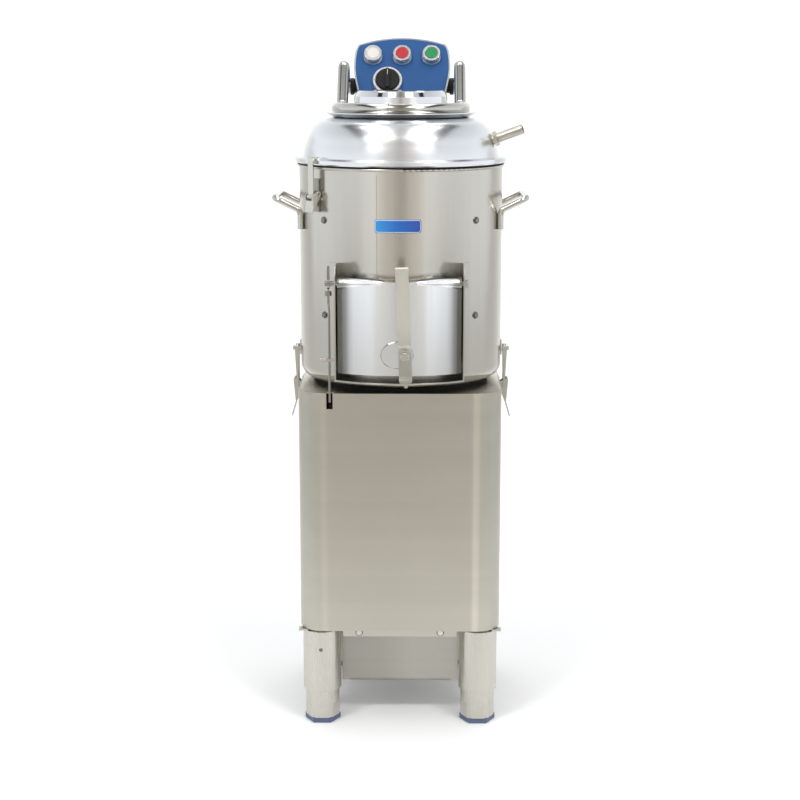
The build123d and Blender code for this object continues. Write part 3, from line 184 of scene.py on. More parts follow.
M = {
    "steel": grain_steel("brushed_steel_z", (0.565, 0.542, 0.495), 0.22, "z", strength=0.16),
    "steel_h": grain_steel("brushed_steel_x", (0.52, 0.50, 0.455), 0.33, "x"),
    "tray": grain_steel("tray_steel", (0.39, 0.375, 0.335), 0.33, "x"),
    "cabinet": grain_steel("cabinet_steel", (0.515, 0.490, 0.430), 0.36, "x", strength=0.22),
    "deck": grain_steel("deck_steel", (0.52, 0.49, 0.435), 0.24, "x", strength=0.15),
    "leg": grain_steel("leg_steel", (0.56, 0.54, 0.485), 0.27, "z", strength=0.12),
    "bright": grain_steel("bright_steel", (0.60, 0.585, 0.535), 0.24, "z", strength=0.12, bevel=0.0008, var=0.08),
    "lever": grain_steel("lever_steel", (0.74, 0.725, 0.66), 0.36, "z", strength=0.2, bevel=0.0008, var=0.08),
    "tube": grain_steel("tube_steel", (0.56, 0.545, 0.50), 0.15, "y", strength=0.05, bevel=0.0, smudge=0.03),
    "spun": spun_metal("spun_aluminium", (0.80, 0.812, 0.832), 0.235, strength=0.06),
    "crown": spun_metal("polished_aluminium", (0.76, 0.765, 0.78), 0.095, strength=0.03),
    "cast": grain_steel("cast_aluminium", (0.86, 0.88, 0.905), 0.22, "z", strength=0.2, var=0.04),
    "rim": grain_steel("rim_metal", (0.31, 0.32, 0.335), 0.36, "x", bevel=0.0),
    "dial": plain("dial_ring", (0.60, 0.60, 0.585), 0.34, metallic=0.85, bevel=0.0),
    "mark": plain("dial_marks", (0.03, 0.03, 0.032), 0.6, bevel=0.0),
    "paint_white": plain("plate_border", (0.66, 0.69, 0.72), 0.35, bevel=0.0),
    "seam": grain_steel("seam_steel", (0.40, 0.385, 0.35), 0.3, "z", bevel=0.0),
    # dark joints, and painted shade in the drum screws' cross recesses
    "seam_dark_and_recess_shade": plain("dark_joint_and_recess_shade", (0.035, 0.032, 0.028), 0.6, bevel=0.0),
    "dark_steel": grain_steel("dark_steel", (0.20, 0.19, 0.175), 0.35, "z", bevel=0.0),
    "bead": plain("boss_bead", (0.50, 0.50, 0.49), 0.20, metallic=1.0, grainy=0.1),
    "pin": grain_steel("pin_steel", (0.35, 0.338, 0.305), 0.24, "z", strength=0.12, bevel=0.0006, var=0.08),
    "base": grain_steel("latch_base_steel", (0.33, 0.318, 0.285), 0.26, "z", strength=0.12, bevel=0.0006, var=0.08),
    "hoop": grain_steel("hoop_steel", (0.56, 0.545, 0.50), 0.15, "y", strength=0.05, bevel=0.0, smudge=0.03),
    "brass_pale": grain_steel("nozzle_metal", (0.47, 0.45, 0.39), 0.22, "z", bevel=0.0002),
    "pad": plain("pad_plastic", (0.085, 0.115, 0.20), 0.45),
    "black": plain("black_plastic", (0.007, 0.007, 0.008), 0.42, spec=0.22),
    "rubber": plain("black_rubber", (0.015, 0.015, 0.015), 0.7, grainy=0.3, gscale=1500, spec=0.2),
    "blue": plain("blue_panel", (0.012, 0.073, 0.225), 0.45, grainy=0.25, gscale=1400, var=0.05, spec=0.25),
    "white": plain("opal_lens", (0.60, 0.59, 0.545), 0.28, grainy=0.05, coat=0.15),
    "red": plain("red_button", (0.41, 0.017, 0.026), 0.30, grainy=0.05, coat=0.15),
    "green": plain("green_button", (0.013, 0.215, 0.064), 0.30, grainy=0.05, coat=0.3),
    "chrome": spun_metal("satin_chrome", (0.82, 0.82, 0.81), 0.24, lines=500),
    "machined": plain("machined_aluminium", (0.55, 0.55, 0.56), 0.38, metallic=1.0),
    "grit": plain("abrasive_grit", (0.10, 0.095, 0.09), 0.85, grainy=1.0, gscale=420, var=0.35, gdist=0.0012),
    "motor": plain("motor_paint", (0.10, 0.115, 0.14), 0.45, gscale=700),
}

def tint(mat, axis, lo, hi, stops):
    """Multiplies a metal's colour by a ramp along one object axis, between lo and hi in metres."""
    nt, b = mat.node_tree, mat.node_tree.nodes.get("Principled BSDF")
    old_col = b.inputs["Base Color"].links[0].from_socket
    tc = nt.nodes.new("ShaderNodeTexCoord")
    sep = nt.nodes.new("ShaderNodeSeparateXYZ")
    nt.links.new(tc.outputs["Object"], sep.inputs[0])
    mx = nt.nodes.new("ShaderNodeMix")
    mx.data_type = "RGBA"
    mx.blend_type = "MULTIPLY"
    mx.inputs["Factor"].default_value = 1.0
    nt.links.new(old_col, mx.inputs[6])
    pos = mathn(nt, "MULTIPLY", mathn(nt, "SUBTRACT", sep.outputs[axis], lo), 1.0 / (hi - lo))
    nt.links.new(ramp(nt, [(q, (v, v, v)) for q, v in stops], pos), mx.inputs[7])
    nt.links.new(mx.outputs[2], b.inputs["Base Color"])


# painted highlight: the cabinet's sheet is brightened along its two bends, where light catches the rounded corners
tint(M["cabinet"], 0, -0.15, 0.15,
     [(0.0, 0.96), (0.070, 0.98), (0.098, 1.10), (0.125, 1.0), (0.5, 0.975), (0.870, 1.0), (0.884, 1.05),
      (0.895, 1.26), (0.915, 1.24), (0.930, 1.03), (1.0, 0.95)])
# painted reflection: the tray front is darkened towards its left end, where the left leg is reflected
tint(M["tray"], 0, -0.10, 0.10, [(0.0, 0.82), (0.35, 0.90), (0.6, 1.04), (1.0, 1.0)])
# the lever is darker towards its foot; painted reflection: the hoop is darkened in the middle of its bow, where a dark
# strip is reflected, and up its arms
tint(M["lever"], 2, 0.58, 0.73, [(0.0, 0.62), (0.22, 0.66), (0.42, 0.86), (0.6, 1.0), (1.0, 1.0)])
tint(M["hoop"], 1, -0.12, 0.18, [(0.0, 1.0), (0.5, 1.0), (0.72, 0.84), (1.0, 0.80)])
tint(M["hoop"], 0, -0.12, 0.12, [(0.0, 1.0), (0.38, 1.0), (0.45, 0.74), (0.55, 0.74), (0.62, 1.0), (1.0, 1.0)])

# painted shade: the door's two ends are darkened, standing in for the chute cheeks' shadow and dark reflection
cm = M["cast"]
cnt, cb = cm.node_tree, cm.node_tree.nodes.get("Principled BSDF")
old = cb.inputs["Base Color"].links[0].from_socket
ctc = cnt.nodes.new("ShaderNodeTexCoord")
csp = cnt.nodes.new("ShaderNodeSeparateXYZ")
cnt.links.new(ctc.outputs["Object"], csp.inputs[0])
cax = mathn(cnt, "ABSOLUTE", mathn(cnt, "MULTIPLY", mathn(cnt, "ADD", csp.outputs[0], -0.001), 10.0))
door_end_shade = ramp(cnt, [(0.0, (0.93, 0.93, 0.91)), (0.36, (0.93, 0.93, 0.91)), (0.43, (1, 1, 1)), (0.72, (1, 1, 1)), (0.78, (0.84, 0.84, 0.83)), (0.84, (0.46, 0.45, 0.43)), (0.89, (0.36, 0.35, 0.33))], cax)
door_end_shade_mix = cnt.nodes.new("ShaderNodeMix")
door_end_shade_mix.data_type = "RGBA"
door_end_shade_mix.blend_type = "MULTIPLY"
door_end_shade_mix.inputs["Factor"].default_value = 1.0
cnt.links.new(old, door_end_shade_mix.inputs[6])
cnt.links.new(door_end_shade, door_end_shade_mix.inputs[7])
cnt.links.new(door_end_shade_mix.outputs[2], cb.inputs["Base Color"])

# blank plate: satin blue, with a painted sheen making it lighter towards its left end
pm, pnt, pb = new_mat("blank_plate_blue")
ptc = pnt.nodes.new("ShaderNodeTexCoord")
psp = pnt.nodes.new("ShaderNodeSeparateXYZ")
pnt.links.new(ptc.outputs["Object"], psp.inputs[0])
plate_sheen_pos = mathn(pnt, "MULTIPLY", mathn(pnt, "ADD", psp.outputs[0], 0.042), 12.5)
pmix = pnt.nodes.new("ShaderNodeMix")
pmix.data_type = "RGBA"
pmix.blend_type = "MULTIPLY"
pmix.inputs["Factor"].default_value = 1.0
pnt.links.new(ramp(pnt, [(0.0, (0.02, 0.30, 0.68)), (0.45, (0.008, 0.135, 0.50)), (1.0, (0.012, 0.045, 0.34))], plate_sheen_pos), pmix.inputs[6])
pnt.links.new(ramp(pnt, [(0.3, (0.9, 0.9, 0.9)), (0.7, (1, 1, 1))], noise(pnt, coords(pnt), 60.0)), pmix.inputs[7])
pnt.links.new(pmix.outputs[2], pb.inputs["Base Color"])
pb.inputs["Roughness"].default_value = 0.32
pb.inputs["Coat Weight"].default_value = 0.25
bump(pnt, pb, noise(pnt, coords(pnt), 1300.0, 2.0), 0.1, 0.0001)
M["plate"] = pm

node_mat = {}
for name in NODES:
    k = "steel"
    if name in ("cabinet_wrap", "cabinet_back_panel"):
        k = "cabinet"
    elif name == "cabinet_deck":
        k = "deck"
    elif name == "leg_tubes" or name.startswith("foot_sleeve"):
        k = "leg"
    elif name.startswith("foot_pad"):
        k = "pad"
    elif name == "dome_lid":
        k = "spun"
    elif name == "fill_cap":
        k = "crown"
    elif name == "discharge_door":
        k = "cast"
    elif name in ("abrasive_disc", "abrasive_liner"):
        k = "grit"
    elif name in ("driven_pulley", "motor_pulley", "bearing_housing"):
        k = "machined"
    elif name in ("drive_belt", "lid_seal", "drum_ring"):
        k = "rubber"
    elif name in ("hinge_bushes", "timer_knob", "microswitch", "cable_gland"):
        k = "black"
    elif name == "control_panel":
        k = "blue"
    elif name == "pilot_lamp":
        k = "white"
    elif name == "stop_button":
        k = "red"
    elif name == "start_button":
        k = "green"
    elif name == "button_bezels":
        k = "chrome"
    elif name == "motor":
        k = "motor"
    elif name == "hoop_handle":
        k = "hoop"
    elif name == "side_handles":
        k = "tube"
    elif name in ("interlock_rod", "door_hinge_pin"):
        k = "pin"
    elif name == "water_nozzle":
        k = "brass_pale"
    elif name == "lid_latch_base":
        k = "base"
    elif name in ("hinge_pins", "lid_latch_base", "lid_latch_lever", "lid_latch_strap", "water_nozzle",
                  "lever_bolt", "interlock_rod", "door_hinge_pin", "drive_shaft", "shaft_bearings", "disc_nut",
                  "panel_screws") or name.startswith("side_latch"):
        k = "bright"
    elif name == "door_lever":
        k = "lever"
    elif name in ("filter_tray", "filter_screen"):
        k = "tray"
    elif name == "base_frame":
        k = "steel_h"
    node_mat[name] = M[k]
    ob = NODES[name]
    ob.data.materials.clear()
    ob.data.materials.append(M[k])

# ---------------------------------------------------------------- stage: floor, lights, surroundings
def stage_mesh(name, verts, faces, mat):
    me = bpy.data.meshes.new(name)
    me.from_pydata(verts, [], faces)
    o = bpy.data.objects.new(name, me)
    me.materials.append(mat)
    scene.collection.objects.link(o)
    return o


fm, fnt, fb = new_mat("floor_white")
fb.inputs["Roughness"].default_value = 0.6
fb.inputs["Specular IOR Level"].default_value = 0.2
ftc = fnt.nodes.new("ShaderNodeTexCoord")
fsep = fnt.nodes.new("ShaderNodeSeparateXYZ")
fnt.links.new(ftc.outputs["Object"], fsep.inputs[0])
# pale where the object stands, greyer towards the front and the sides
fy = ramp(fnt, [(0.0, (0.86, 0.845, 0.81)), (0.14, (0.80, 0.78, 0.74)), (0.30, (0.56, 0.54, 0.495)), (0.50, (0.53, 0.51, 0.465)), (0.64, (0.86, 0.845, 0.81)),
                (0.69, (0.97, 0.97, 0.97)), (0.72, (1.0, 1.0, 1.0)), (1.0, (1.0, 1.0, 1.0))],
          mathn(fnt, "MULTIPLY", mathn(fnt, "ADD", fsep.outputs[1], 4.0), 1 / 5.0))
fx = ramp(fnt, [(0.0, (1, 1, 1)), (0.56, (1, 1, 1)), (0.95, (0.86, 0.855, 0.84)), (1.0, (0.86, 0.855, 0.84))],
          mathn(fnt, "DIVIDE", mathn(fnt, "MULTIPLY", mathn(fnt, "ABSOLUTE", fsep.outputs[0]), 2.0),
                mathn(fnt, "MAXIMUM", mathn(fnt, "ADD", fsep.outputs[1], 2.75), 0.6)))
fmul = fnt.nodes.new("ShaderNodeMix")
fmul.data_type = "RGBA"
fmul.blend_type = "MULTIPLY"
fmul.inputs["Factor"].default_value = 1.0
fnt.links.new(fy, fmul.inputs[6])
fnt.links.new(fx, fmul.inputs[7])
fnt.links.new(fmul.outputs[2], fb.inputs["Base Color"])
prof = [(-4.0, 0.0), (2.2, 0.0)] + [(2.2 + 0.8 * math.sin(a), 0.8 - 0.8 * math.cos(a)) for a in [math.pi / 2 * i / 12 for i in range(1, 13)]] + [(3.0, 1.75)]
fv, ff = [], []
for (y, z) in prof:
    fv += [(-5.0, y, z), (5.0, y, z)]
for i in range(len(prof) - 1):
    ff.append((2 * i, 2 * i + 1, 2 * i + 3, 2 * i + 2))
floor = stage_mesh("floor", fv, ff, fm)
for p in floor.data.polygons:
    p.use_smooth = True


def area(name, loc, target, size, energy, color=(1, 1, 1), size_y=None):
    d = bpy.data.lights.new(name, "AREA")
    d.energy = energy
    d.color = color
    d.size = size
    if size_y:
        d.shape = "RECTANGLE"
        d.size_y = size_y
    o = bpy.data.objects.new(name, d)
    scene.collection.objects.link(o)
    o.location = loc
    o.rotation_euler = (Vector(target) - Vector(loc)).to_track_quat("-Z", "Y").to_euler()
    return o


area("softbox_left", (-0.52, -0.75, 2.4), (-0.52, -0.75, 0), 0.42, 9, size_y=1.9)
area("softbox_right", (0.52, -0.75, 2.4), (0.52, -0.75, 0), 0.42, 9, size_y=1.9)
area("fill_left", (-1.35, -2.0, 3.0), (-0.1, -0.45, 0), 0.6, 22)
area("fill_right", (1.35, -2.0, 3.0), (0.1, -0.45, 0), 0.6, 22)
area("backdrop", (0, 1.6, 3.3), (0, 2.9, 1.2), 1.6, 30)

# dark flags beyond the softboxes, seen only in reflections
flag_mat, _, flag_b = new_mat("flag_black")
flag_b.inputs["Base Color"].default_value = (0.01, 0.01, 0.01, 1.0)
flag_b.inputs["Roughness"].default_value = 0.9
run = [(0.88, 0.85), (0.90, 0.66), (1.14, -0.22), (1.50, -1.10), (1.95, -1.95)]
for sx_, nm in ((-1, "flag_left"), (1, "flag_right")):
    fvv = []
    for x, y in run:
        fvv += [(sx_ * (x - 0.2), y, 2.4), (sx_ * (x + 0.2), y, 2.4)]
    flag = stage_mesh(nm, fvv, [(2 * i, 2 * i + 1, 2 * i + 3, 2 * i + 2) for i in range(len(run) - 1)], flag_mat)
    flag.visible_camera = False

# surroundings: white to the camera, a soft studio gradient to everything else
world = bpy.data.worlds.new("studio")
scene.world = world
world.use_nodes = True
wt = world.node_tree
wt.nodes.clear()
wout = wt.nodes.new("ShaderNodeOutputWorld")
mix = wt.nodes.new("ShaderNodeMixShader")
lp = wt.nodes.new("ShaderNodeLightPath")
white = wt.nodes.new("ShaderNodeBackground")
white.inputs["Color"].default_value = (1, 1, 1, 1)
white.inputs["Strength"].default_value = 1.0
env = wt.nodes.new("ShaderNodeBackground")
wtc = wt.nodes.new("ShaderNodeTexCoord")
wsep = wt.nodes.new("ShaderNodeSeparateXYZ")
wt.links.new(wtc.outputs["Generated"], wsep.inputs[0])
# azimuth 0..1, 0.5 towards the camera
az = mathn(wt, "ARCTAN2", wsep.outputs[0], mathn(wt, "MULTIPLY", wsep.outputs[1], -1.0))
azn = mathn(wt, "ADD", mathn(wt, "MULTIPLY", az, 1 / (2 * math.pi)), 0.5)
W = lambda v, w=1.0: (v * w, v, v * (2 - w), 1.0)
def sym(stops):
    out = [(0.5 - a / 360.0, c) for a, c in reversed(stops)] + [(0.5 + a / 360.0, c) for a, c in stops if a > 0]
    return out


azcol = ramp(wt, sym([(0, W(0.46, 1.05)), (4, W(0.54, 1.05)), (8, W(0.72, 1.06)), (11, W(0.74, 1.06)), (20, W(0.82, 1.04)), (25, W(1.10, 1.0)), (34, W(1.22, 0.98)), (44, W(1.04, 0.97)),
                      (75, W(1.05, 0.965)), (105, W(1.08, 0.965)), (180, W(1.12, 0.97))]), azn)
elcol = ramp(wt, [(0.0, W(0.75)), (0.42, W(0.84)), (0.50, W(0.84)), (0.56, W(0.80)), (0.66, W(0.74)), (0.80, W(0.60)), (0.86, W(0.54)), (0.92, W(0.38)), (1.0, W(0.44))],
             mathn(wt, "ADD", mathn(wt, "MULTIPLY", wsep.outputs[2], 0.5), 0.5))
mul = wt.nodes.new("ShaderNodeMix")
mul.data_type = "RGBA"
mul.blend_type = "MULTIPLY"
mul.inputs["Factor"].default_value = 1.0
wt.links.new(azcol, mul.inputs[6])
wt.links.new(elcol, mul.inputs[7])
wt.links.new(mul.outputs[2], env.inputs["Color"])
env.inputs["Strength"].default_value = 1.25
wt.links.new(lp.outputs["Is Camera Ray"], mix.inputs["Fac"])
wt.links.new(env.outputs[0], mix.inputs[1])
wt.links.new(white.outputs[0], mix.inputs[2])
wt.links.new(mix.outputs[0], wout.inputs["Surface"])

# ---------------------------------------------------------------- detail pieces
PO, PU, PN = Vector((0, 0.143, 1.001)), Vector((0, 0.5, 0.8660254)), Vector((0, -0.8660254, 0.5))
PX = Vector((1, 0, 0))
TIMER = (-24.7, 36.8)
DRUM_R = 165.0


class Shape:
    """Collects faces in millimetres and turns them into one object."""

    def __init__(self):
        self.v, self.f = [], []

    def add(self, verts, faces):
        k = len(self.v)
        self.v += [tuple(p) for p in verts]
        self.f += [tuple(i + k for i in q) for q in faces]

    def rings(self, rows, closed_rows=True, caps=False):
        """rows: list of rings, each a list of the same number of points."""
        m = len(rows[0])
        verts = [p for r in rows for p in r]
        faces = []
        last = m if closed_rows else m - 1
        for i in range(len(rows) - 1):
            for j in range(last):
                a, b = i * m + j, i * m + (j + 1) % m
                faces.append((a, b, b + m, a + m))
        if caps:
            faces.append(tuple(range(m))[::-1])
            faces.append(tuple((len(rows) - 1) * m + j for j in range(m)))
        self.add(verts, faces)

    def lathe(self, o, ex, ey, ez, profile, seg=72):
        """profile: (radius, height) pairs turned about ez through o."""
        rows = [[o + ex * (r * math.cos(t)) + ey * (r * math.sin(t)) + ez * h
                 for t in (2 * math.pi * j / seg for j in range(seg))] for r, h in profile]
        self.rings(rows)

    def bar(self, o, ex, ey, ez, lx, ly, lz, ch):
        """a small bar standing on o, its upper edges chamfered"""
        rows = []
        for sx_, sy_, h in ((lx, ly, 0), (lx, ly, lz - ch), (lx - 2 * ch, ly - 2 * ch, lz)):
            rows.append([o + ex * (sx_ / 2 * a) + ey * (sy_ / 2 * b) + ez * h for a, b in ((-1, -1), (1, -1), (1, 1), (-1, 1))])
        self.rings(rows, caps=True)

    def build(self, name, mat, body, slot, smooth=True, angle=35.0):
        me = bpy.data.meshes.new(name)
        me.from_pydata([tuple(c * 0.001 for c in p) for p in self.v], [], self.f)
        me.validate()
        bm = bmesh.new()
        bm.from_mesh(me)
        bmesh.ops.recalc_face_normals(bm, faces=bm.faces)
        bm.to_mesh(me)
        bm.free()
        me.materials.append(M[mat])
        ob_ = bpy.data.objects.new(name, me)
        scene.collection.objects.link(ob_)
        if smooth:
            for p in me.polygons:
                p.use_smooth = True
            me.set_sharp_from_angle(angle=math.radians(angle))
        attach(ob_, body)
        return ob_


def pan(x, v, w=0.0):
    return PO * 1000 + PX * x + PU * v + PN * w


def on_drum(s, z, off=0.0, radius=DRUM_R):
    a = s / radius
    return Vector(((radius + off) * math.sin(a), -(radius + off) * math.cos(a), z))


# rim round the blue face
HALF = [(70, 0), (73.5, 10), (77.6, 28), (80.9, 46), (82.6, 62), (81.8, 84), (78.8, 100), (74.6, 108.3)]


def smooth_line(pts, n_):
    """points along a centripetal curve through pts"""
    out = []
    for i in range(len(pts) - 1):
        p0, p1, p2, p3 = pts[max(i - 1, 0)], pts[i], pts[i + 1], pts[min(i + 2, len(pts) - 1)]
        for k in range(n_):
            t = k / n_
            out.append(tuple(0.5 * (2 * b + (c - a) * t + (2 * a - 5 * b + 4 * c - d) * t * t + (3 * b - a - 3 * c + d) * t ** 3)
                             for a, b, c, d in zip(p0, p1, p2, p3)))
    out.append(pts[-1])
    return out


side = smooth_line(HALF, 6)
# arch through (-74.6, 108.3), (0, 121), (74.6, 108.3)
hh, sg = 74.6, 12.7
RA = (hh * hh + sg * sg) / (2 * sg)
a0 = math.asin(hh / RA)
arch = [(RA * math.sin(a), 121 - RA + RA * math.cos(a)) for a in [a0 - 2 * a0 * i / 40 for i in range(1, 40)]]
outline = side + arch + [(-x, v) for x, v in reversed(side)]
outline += [(-70 + 140 * i / 12, 0) for i in range(1, 12)]


def inset(points, d):
    out, m = [], len(points)
    for i in range(m):
        (ax, ay), (bx, by) = points[i - 1], points[(i + 1) % m]
        tx, ty = bx - ax, by - ay
        L = math.hypot(tx, ty) or 1
        out.append((points[i][0] - ty / L * d, points[i][1] + tx / L * d))
    return out


sh = Shape()
sh.rings([[pan(x, v, w) for x, v in inset(outline, d)] for d, w in ((0.35, -0.5), (0.35, 0.1), (0.6, 0.28), (2.3, 0.34), (2.7, 0.24), (2.8, -0.3))])
sh.build("panel_rim", "rim", "frame", "alu_plain")

# silver dial ring with fine ticks round the timer knob
sh = Shape()
to = pan(*TIMER, 0)
sh.lathe(to, PX, PU, PN, [(20.72, 1.0), (20.72, 5.9), (21.0, 6.2), (24.4, 6.2), (25.12, 5.6), (25.12, 0.1)], 96)
sh.build("timer_dial_ring", "dial", "frame", "bezel_chrome")
sh = Shape()
for i in range(60):
    t = 2 * math.pi * i / 60
    er = PX * math.sin(t) + PU * math.cos(t)
    et = PX * math.cos(t) - PU * math.sin(t)
    big = i % 5 == 0
    if 150 < math.degrees(t) < 210 and i != 30:
        continue
    sh.bar(to + er * (22.4 if big else 22.1) + PN * 6.15, et, er, PN, 0.62 if big else 0.34, 2.8 if big else 1.9, 0.13, 0.04)
sh.build("timer_dial_ticks", "mark", "frame", "black_plastic")
# knurl on the outside of the dial ring
sh = Shape()
for i in range(72):
    t = 2 * math.pi * (i + 0.5) / 72
    er = PX * math.sin(t) + PU * math.cos(t)
    et = PX * math.cos(t) - PU * math.sin(t)
    sh.bar(to + er * 25.0 + PN * 3.0, et, PN, er, 0.9, 4.6, 0.45, 0.2)
sh.build("timer_dial_knurl", "dial", "frame", "bezel_chrome")
# knob: ribbed skirt, white pointer, raised lines on the grip
sh = Shape()
for i in range(44):
    t = 2 * math.pi * (i + 0.5) / 44
    er = PX * math.sin(t) + PU * math.cos(t)
    et = PX * math.cos(t) - PU * math.sin(t)
    sh.bar(to + er * 19.85 + PN * 7.6, et, PN, er, 1.2, 3.4, 0.5, 0.2)
sh.build("timer_knob_ribs", "black", "timer", "black_plastic")
sh = Shape()
sh.bar(to + PU * 10.6 + PN * 14.96, PX, PU, PN, 0.9, 10.0, 0.16, 0.05)
sh.bar(to + PU * 17.9 + PN * 10.4, PX, PU, PN, 0.9, 2.0, 0.16, 0.05)
sh.build("timer_pointer", "white", "timer", "lens_white")
sh = Shape()
for dx, l0, l1 in ((-3.2, -12, 8), (3.2, -12, 8), (-8.4, -9, 10), (8.4, -9, 10), (-13.2, -5, 7), (13.2, -5, 7)):
    base = 14.86 if abs(dx) < 4 else 10.36
    sh.bar(to + PX * dx + PU * ((l0 + l1) / 2) + PN * base, PX, PU, PN, 0.7, l1 - l0, 0.32, 0.12)
sh.build("timer_grip_lines", "black", "timer", "black_plastic")

# fluted collar under each round button
sh = Shape()
for bx in (-50.0, 0.0, 50.0):
    bo = pan(bx, 84.7, 0)
    for i in range(48):
        t = 2 * math.pi * i / 48
        er = PX * math.sin(t) + PU * math.cos(t)
        et = PX * math.cos(t) - PU * math.sin(t)
        sh.bar(bo + er * 14.7 + PN * 4.6, et, PN, er, 0.95, 7.6, 0.42, 0.18)
sh.build("bezel_flutes", "chrome", "frame", "bezel_chrome")
sh = Shape()
for bx in (-50.0, 0.0, 50.0):
    sh.lathe(pan(bx, 84.7, 0), PX, PU, PN, [(15.9, 0.02), (15.9, 0.7), (15.6, 0.95), (14.85, 0.95)], 64)
sh.build("bezel_gaskets", "rim", "frame", "alu_plain")

# black sleeves beside the panel
for s, nm in ((-1, "left"), (1, "right")):
    sh = Shape()
    o_ = Vector((0, 170.0, 1024.5))
    sh.lathe(o_, Vector((0, 1, 0)), Vector((0, 0, 1)), Vector((s, 0, 0)),
             [(10.25, 75.6), (11.4, 75.6), (11.4, 80.7), (12.9, 81.1), (13.3, 81.4), (13.3, 81.9), (12.9, 82.1), (10.3, 82.1)], 48)
    sh.build("pivot_sleeve_" + nm, "black", "frame", "black_plastic")

# plain blank plate on the drum
W_, H_, CR = 36.5, 10.4, 4.2
SC, ZC = -2.6, 817.0


def half_height(s, w=W_, h=H_, r=CR):
    d = w - abs(s)
    if d >= r:
        return h
    d = max(d, 0.0)
    return h - r + math.sqrt(max(r * r - (r - d) ** 2, 0.0))


cols = []
for i in range(73):
    u = -1 + 2 * i / 72
    s = W_ * math.sin(u * math.pi / 2) if abs(u) > 0.6 else W_ * math.sin(0.6 * math.pi / 2) * u / 0.6
    cols.append(s)
sh = Shape()
rows = []
TT = [-1, -0.985, -0.93, -0.8, -0.5, 0, 0.5, 0.8, 0.93, 0.985, 1]
for s in cols:
    hgt = half_height(s)
    e1 = min(1.0, (W_ - abs(s)) / 0.9)
    row = []
    for t in TT:
        e2 = min(1.0, (1 - abs(t)) * H_ / 0.7)
        row.append(on_drum(SC + s, ZC + t * hgt, 0.04 + 0.66 * math.sqrt(max(0.0, min(e1, e2)))))
    rows.append(row)
sh.rings(rows, closed_rows=False)
sh.build("name_plate", "plate", "frame", "blue_face", angle=50)
# its pale raised border
sh = Shape()
loop = []
for k in range(4):
    cx, cz = (W_ - CR - 1.3) * (1, -1, -1, 1)[k], (H_ - CR - 1.3) * (1, 1, -1, -1)[k]
    for j in range(9):
        t = math.pi / 2 * (k + j / 8)
        loop.append((cx + (CR) * math.cos(t), cz + (CR) * math.sin(t)))
dense = []
for i in range(len(loop)):
    (x0, z0), (x1, z1) = loop[i], loop[(i + 1) % len(loop)]
    n_ = max(1, int(math.hypot(x1 - x0, z1 - z0) / 3.0))
    dense += [(x0 + (x1 - x0) * q / n_, z0 + (z1 - z0) * q / n_) for q in range(n_)]
rr_ = []
for d, off in ((-0.5, 0.55), (-0.42, 0.86), (0.42, 0.86), (0.5, 0.55)):
    rr_.append([on_drum(SC + x, ZC + z, off) for x, z in inset(dense, d)])
sh.rings(rr_)
sh.build("name_plate_border", "paint_white", "frame", "lens_white")

# weld seam down the drum, and its dressed edge
sh = Shape()
rows = []
for z in [731 + 165 * i / 20 for i in range(21)]:
    rows.append([on_drum(-35.6 + ds, z, off) for ds, off in ((-0.42, 0.01), (-0.2, 0.09), (0.2, 0.09), (0.42, 0.01))])
sh.rings(rows, closed_rows=False)
sh.build("drum_seam", "seam", "frame", "steel")

# drum screws: painted shade, as dark rings under the heads and dark crosses standing in for the shaded cross recesses
sh, sx2 = Shape(), Shape()
for ang in (46.2, -46.2, 133.8, -133.8):
    ca, sa = math.cos(math.radians(ang)), math.sin(math.radians(ang))
    er, et, ez = Vector((sa, -ca, 0)), Vector((ca, sa, 0)), Vector((0, 0, 1))
    for z in (672, 822):
        o_ = er * (DRUM_R + 0.05) + ez * z
        sh.lathe(o_, et, ez, er, [(5.7, -0.45), (5.7, 0.45), (5.4, 0.7), (4.9, 0.7)], 40)
        tl = math.radians(20 + 13 * (z > 700))
        e1, e2 = et * math.cos(tl) + ez * math.sin(tl), ez * math.cos(tl) - et * math.sin(tl)
        for ea, eb in ((e1, e2), (e2, e1)):
            sx2.bar(o_ + er * 2.5, ea, eb, er, 5.2, 1.1, 0.16, 0.05)
        sx2.lathe(o_, et, ez, er, [(4.99, 0.75), (4.3, 2.35), (4.0, 2.66), (2.6, 2.7)], 32)
sh.build("drum_screw_shade_rings", "dark_steel", "frame", "steel_bright")
sx2.build("drum_screw_crosses", "seam_dark_and_recess_shade", "frame", "steel_bright")
# a dark ring under each hexagon flange screw
sh = Shape()
for x in (-66, 66):
    o_ = Vector((x, -150.0, 156.2))
    sh.lathe(o_, Vector((1, 0, 0)), Vector((0, 0, 1)), Vector((0, -1, 0)), [(6.3, -0.4), (6.3, 0.35), (6.0, 0.6), (5.2, 0.6)], 40)
sh.build("flange_screw_dark_rings", "dark_steel", "frame", "steel_bright")

# set screw in the front left leg, with its dimpled hexagon
sh = Shape()
lo = Vector((-127.5, -127.5, 0))
dirv = Vector((-0.02, -1, 0)).normalized()
e1 = Vector((-dirv.y, dirv.x, 0)) * -1
o_ = lo + dirv * 30.7 + Vector((0, 0, 128.5))
sh.lathe(o_, e1, Vector((0, 0, 1)), dirv, [(3.2, 0.0), (3.2, 0.75), (2.9, 1.0), (1.5, 1.0), (1.3, 0.4), (0.1, 0.3)], 24)
sh.build("leg_set_screw", "dark_steel", "frame", "steel_bright")

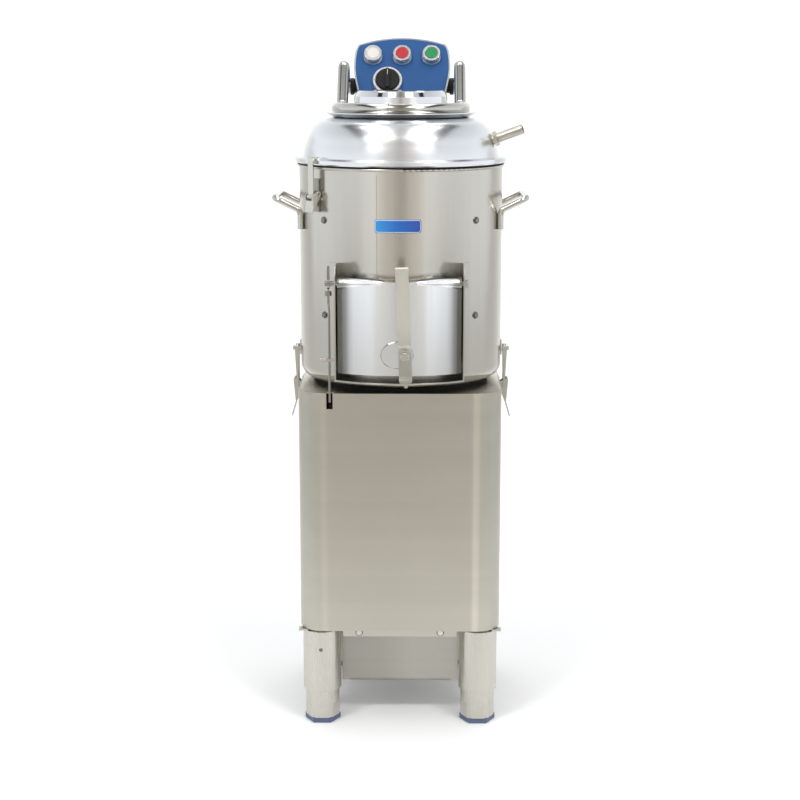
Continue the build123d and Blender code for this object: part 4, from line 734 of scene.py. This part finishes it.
# seam in the hoop's tube where its ends are butted
sh = Shape()
HZ, HR, TR = 992.4, 102.8, 9.5
for ang in (-9.6,):
    a = math.radians(ang)
    er, et, ez = Vector((math.sin(a), -math.cos(a), 0)), Vector((math.cos(a), math.sin(a), 0)), Vector((0, 0, 1))
    sh.lathe(er * HR + ez * HZ, er, ez, et, [(TR - 0.05, -0.5), (TR + 0.14, -0.25), (TR + 0.14, 0.25), (TR - 0.05, 0.5)], 48)
sh.build("hoop_seam", "seam_dark_and_recess_shade", "cap", "steel_bright")

# turned barbs on the water nozzle
sh = Shape()
nt_, nr_ = math.radians(12), math.radians(20)
nzd = Vector((math.cos(nt_) * math.cos(nr_), -math.sin(nt_) * math.cos(nr_), math.sin(nr_)))
nzo = Vector((138 * math.cos(nt_), -138 * math.sin(nt_), 938.6))
nex = Vector((0, 0, 1)).cross(nzd).normalized()
ney = nzd.cross(nex)
k = 22.6
while k < 61.5:
    sh.lathe(nzo + nzd * k, nex, ney, nzd, [(7.75, -0.1), (7.95, 0.35), (7.95, 1.15), (7.75, 1.6)], 40)
    k += 2.3
sh.lathe(nzo + nzd * 62.6, nex, ney, nzd, [(7.75, -0.4), (8.05, 0.2), (8.05, 1.6), (7.7, 2.3)], 40)
sh.build("nozzle_barbs", "brass_pale", "frame", "steel_bright")
# painted shade: a black lining inside the nozzle's bore, standing in for the shade in the hole
sh = Shape()
sh.lathe(nzo + nzd * 44, nex, ney, nzd, [(5.5, 0.0), (5.5, 20.2), (5.58, 20.6)], 32)
sh.build("nozzle_bore", "rubber", "frame", "black_rubber")

# polished bead round the boss of the door
sh = Shape()
rows = []
for j in range(72):
    t = 2 * math.pi * j / 72
    cx, cz = -3.5 + 24.2 * math.cos(t), 623 + 19.7 * math.sin(t)
    nx, nz_ = math.cos(t) / 24.2, math.sin(t) / 19.7
    L = math.hypot(nx, nz_)
    nx, nz_ = nx / L, nz_ / L
    ring = []
    for q in range(10):
        p = 2 * math.pi * q / 10
        ring.append(Vector((cx + nx * 1.7 * math.cos(p), -206.3 - 1.7 * math.sin(p), cz + nz_ * 1.7 * math.cos(p))))
    rows.append(ring)
rows.append(rows[0])
sh.rings(rows)
sh.build("door_boss_bead", "bead", "door", "alu_cast")
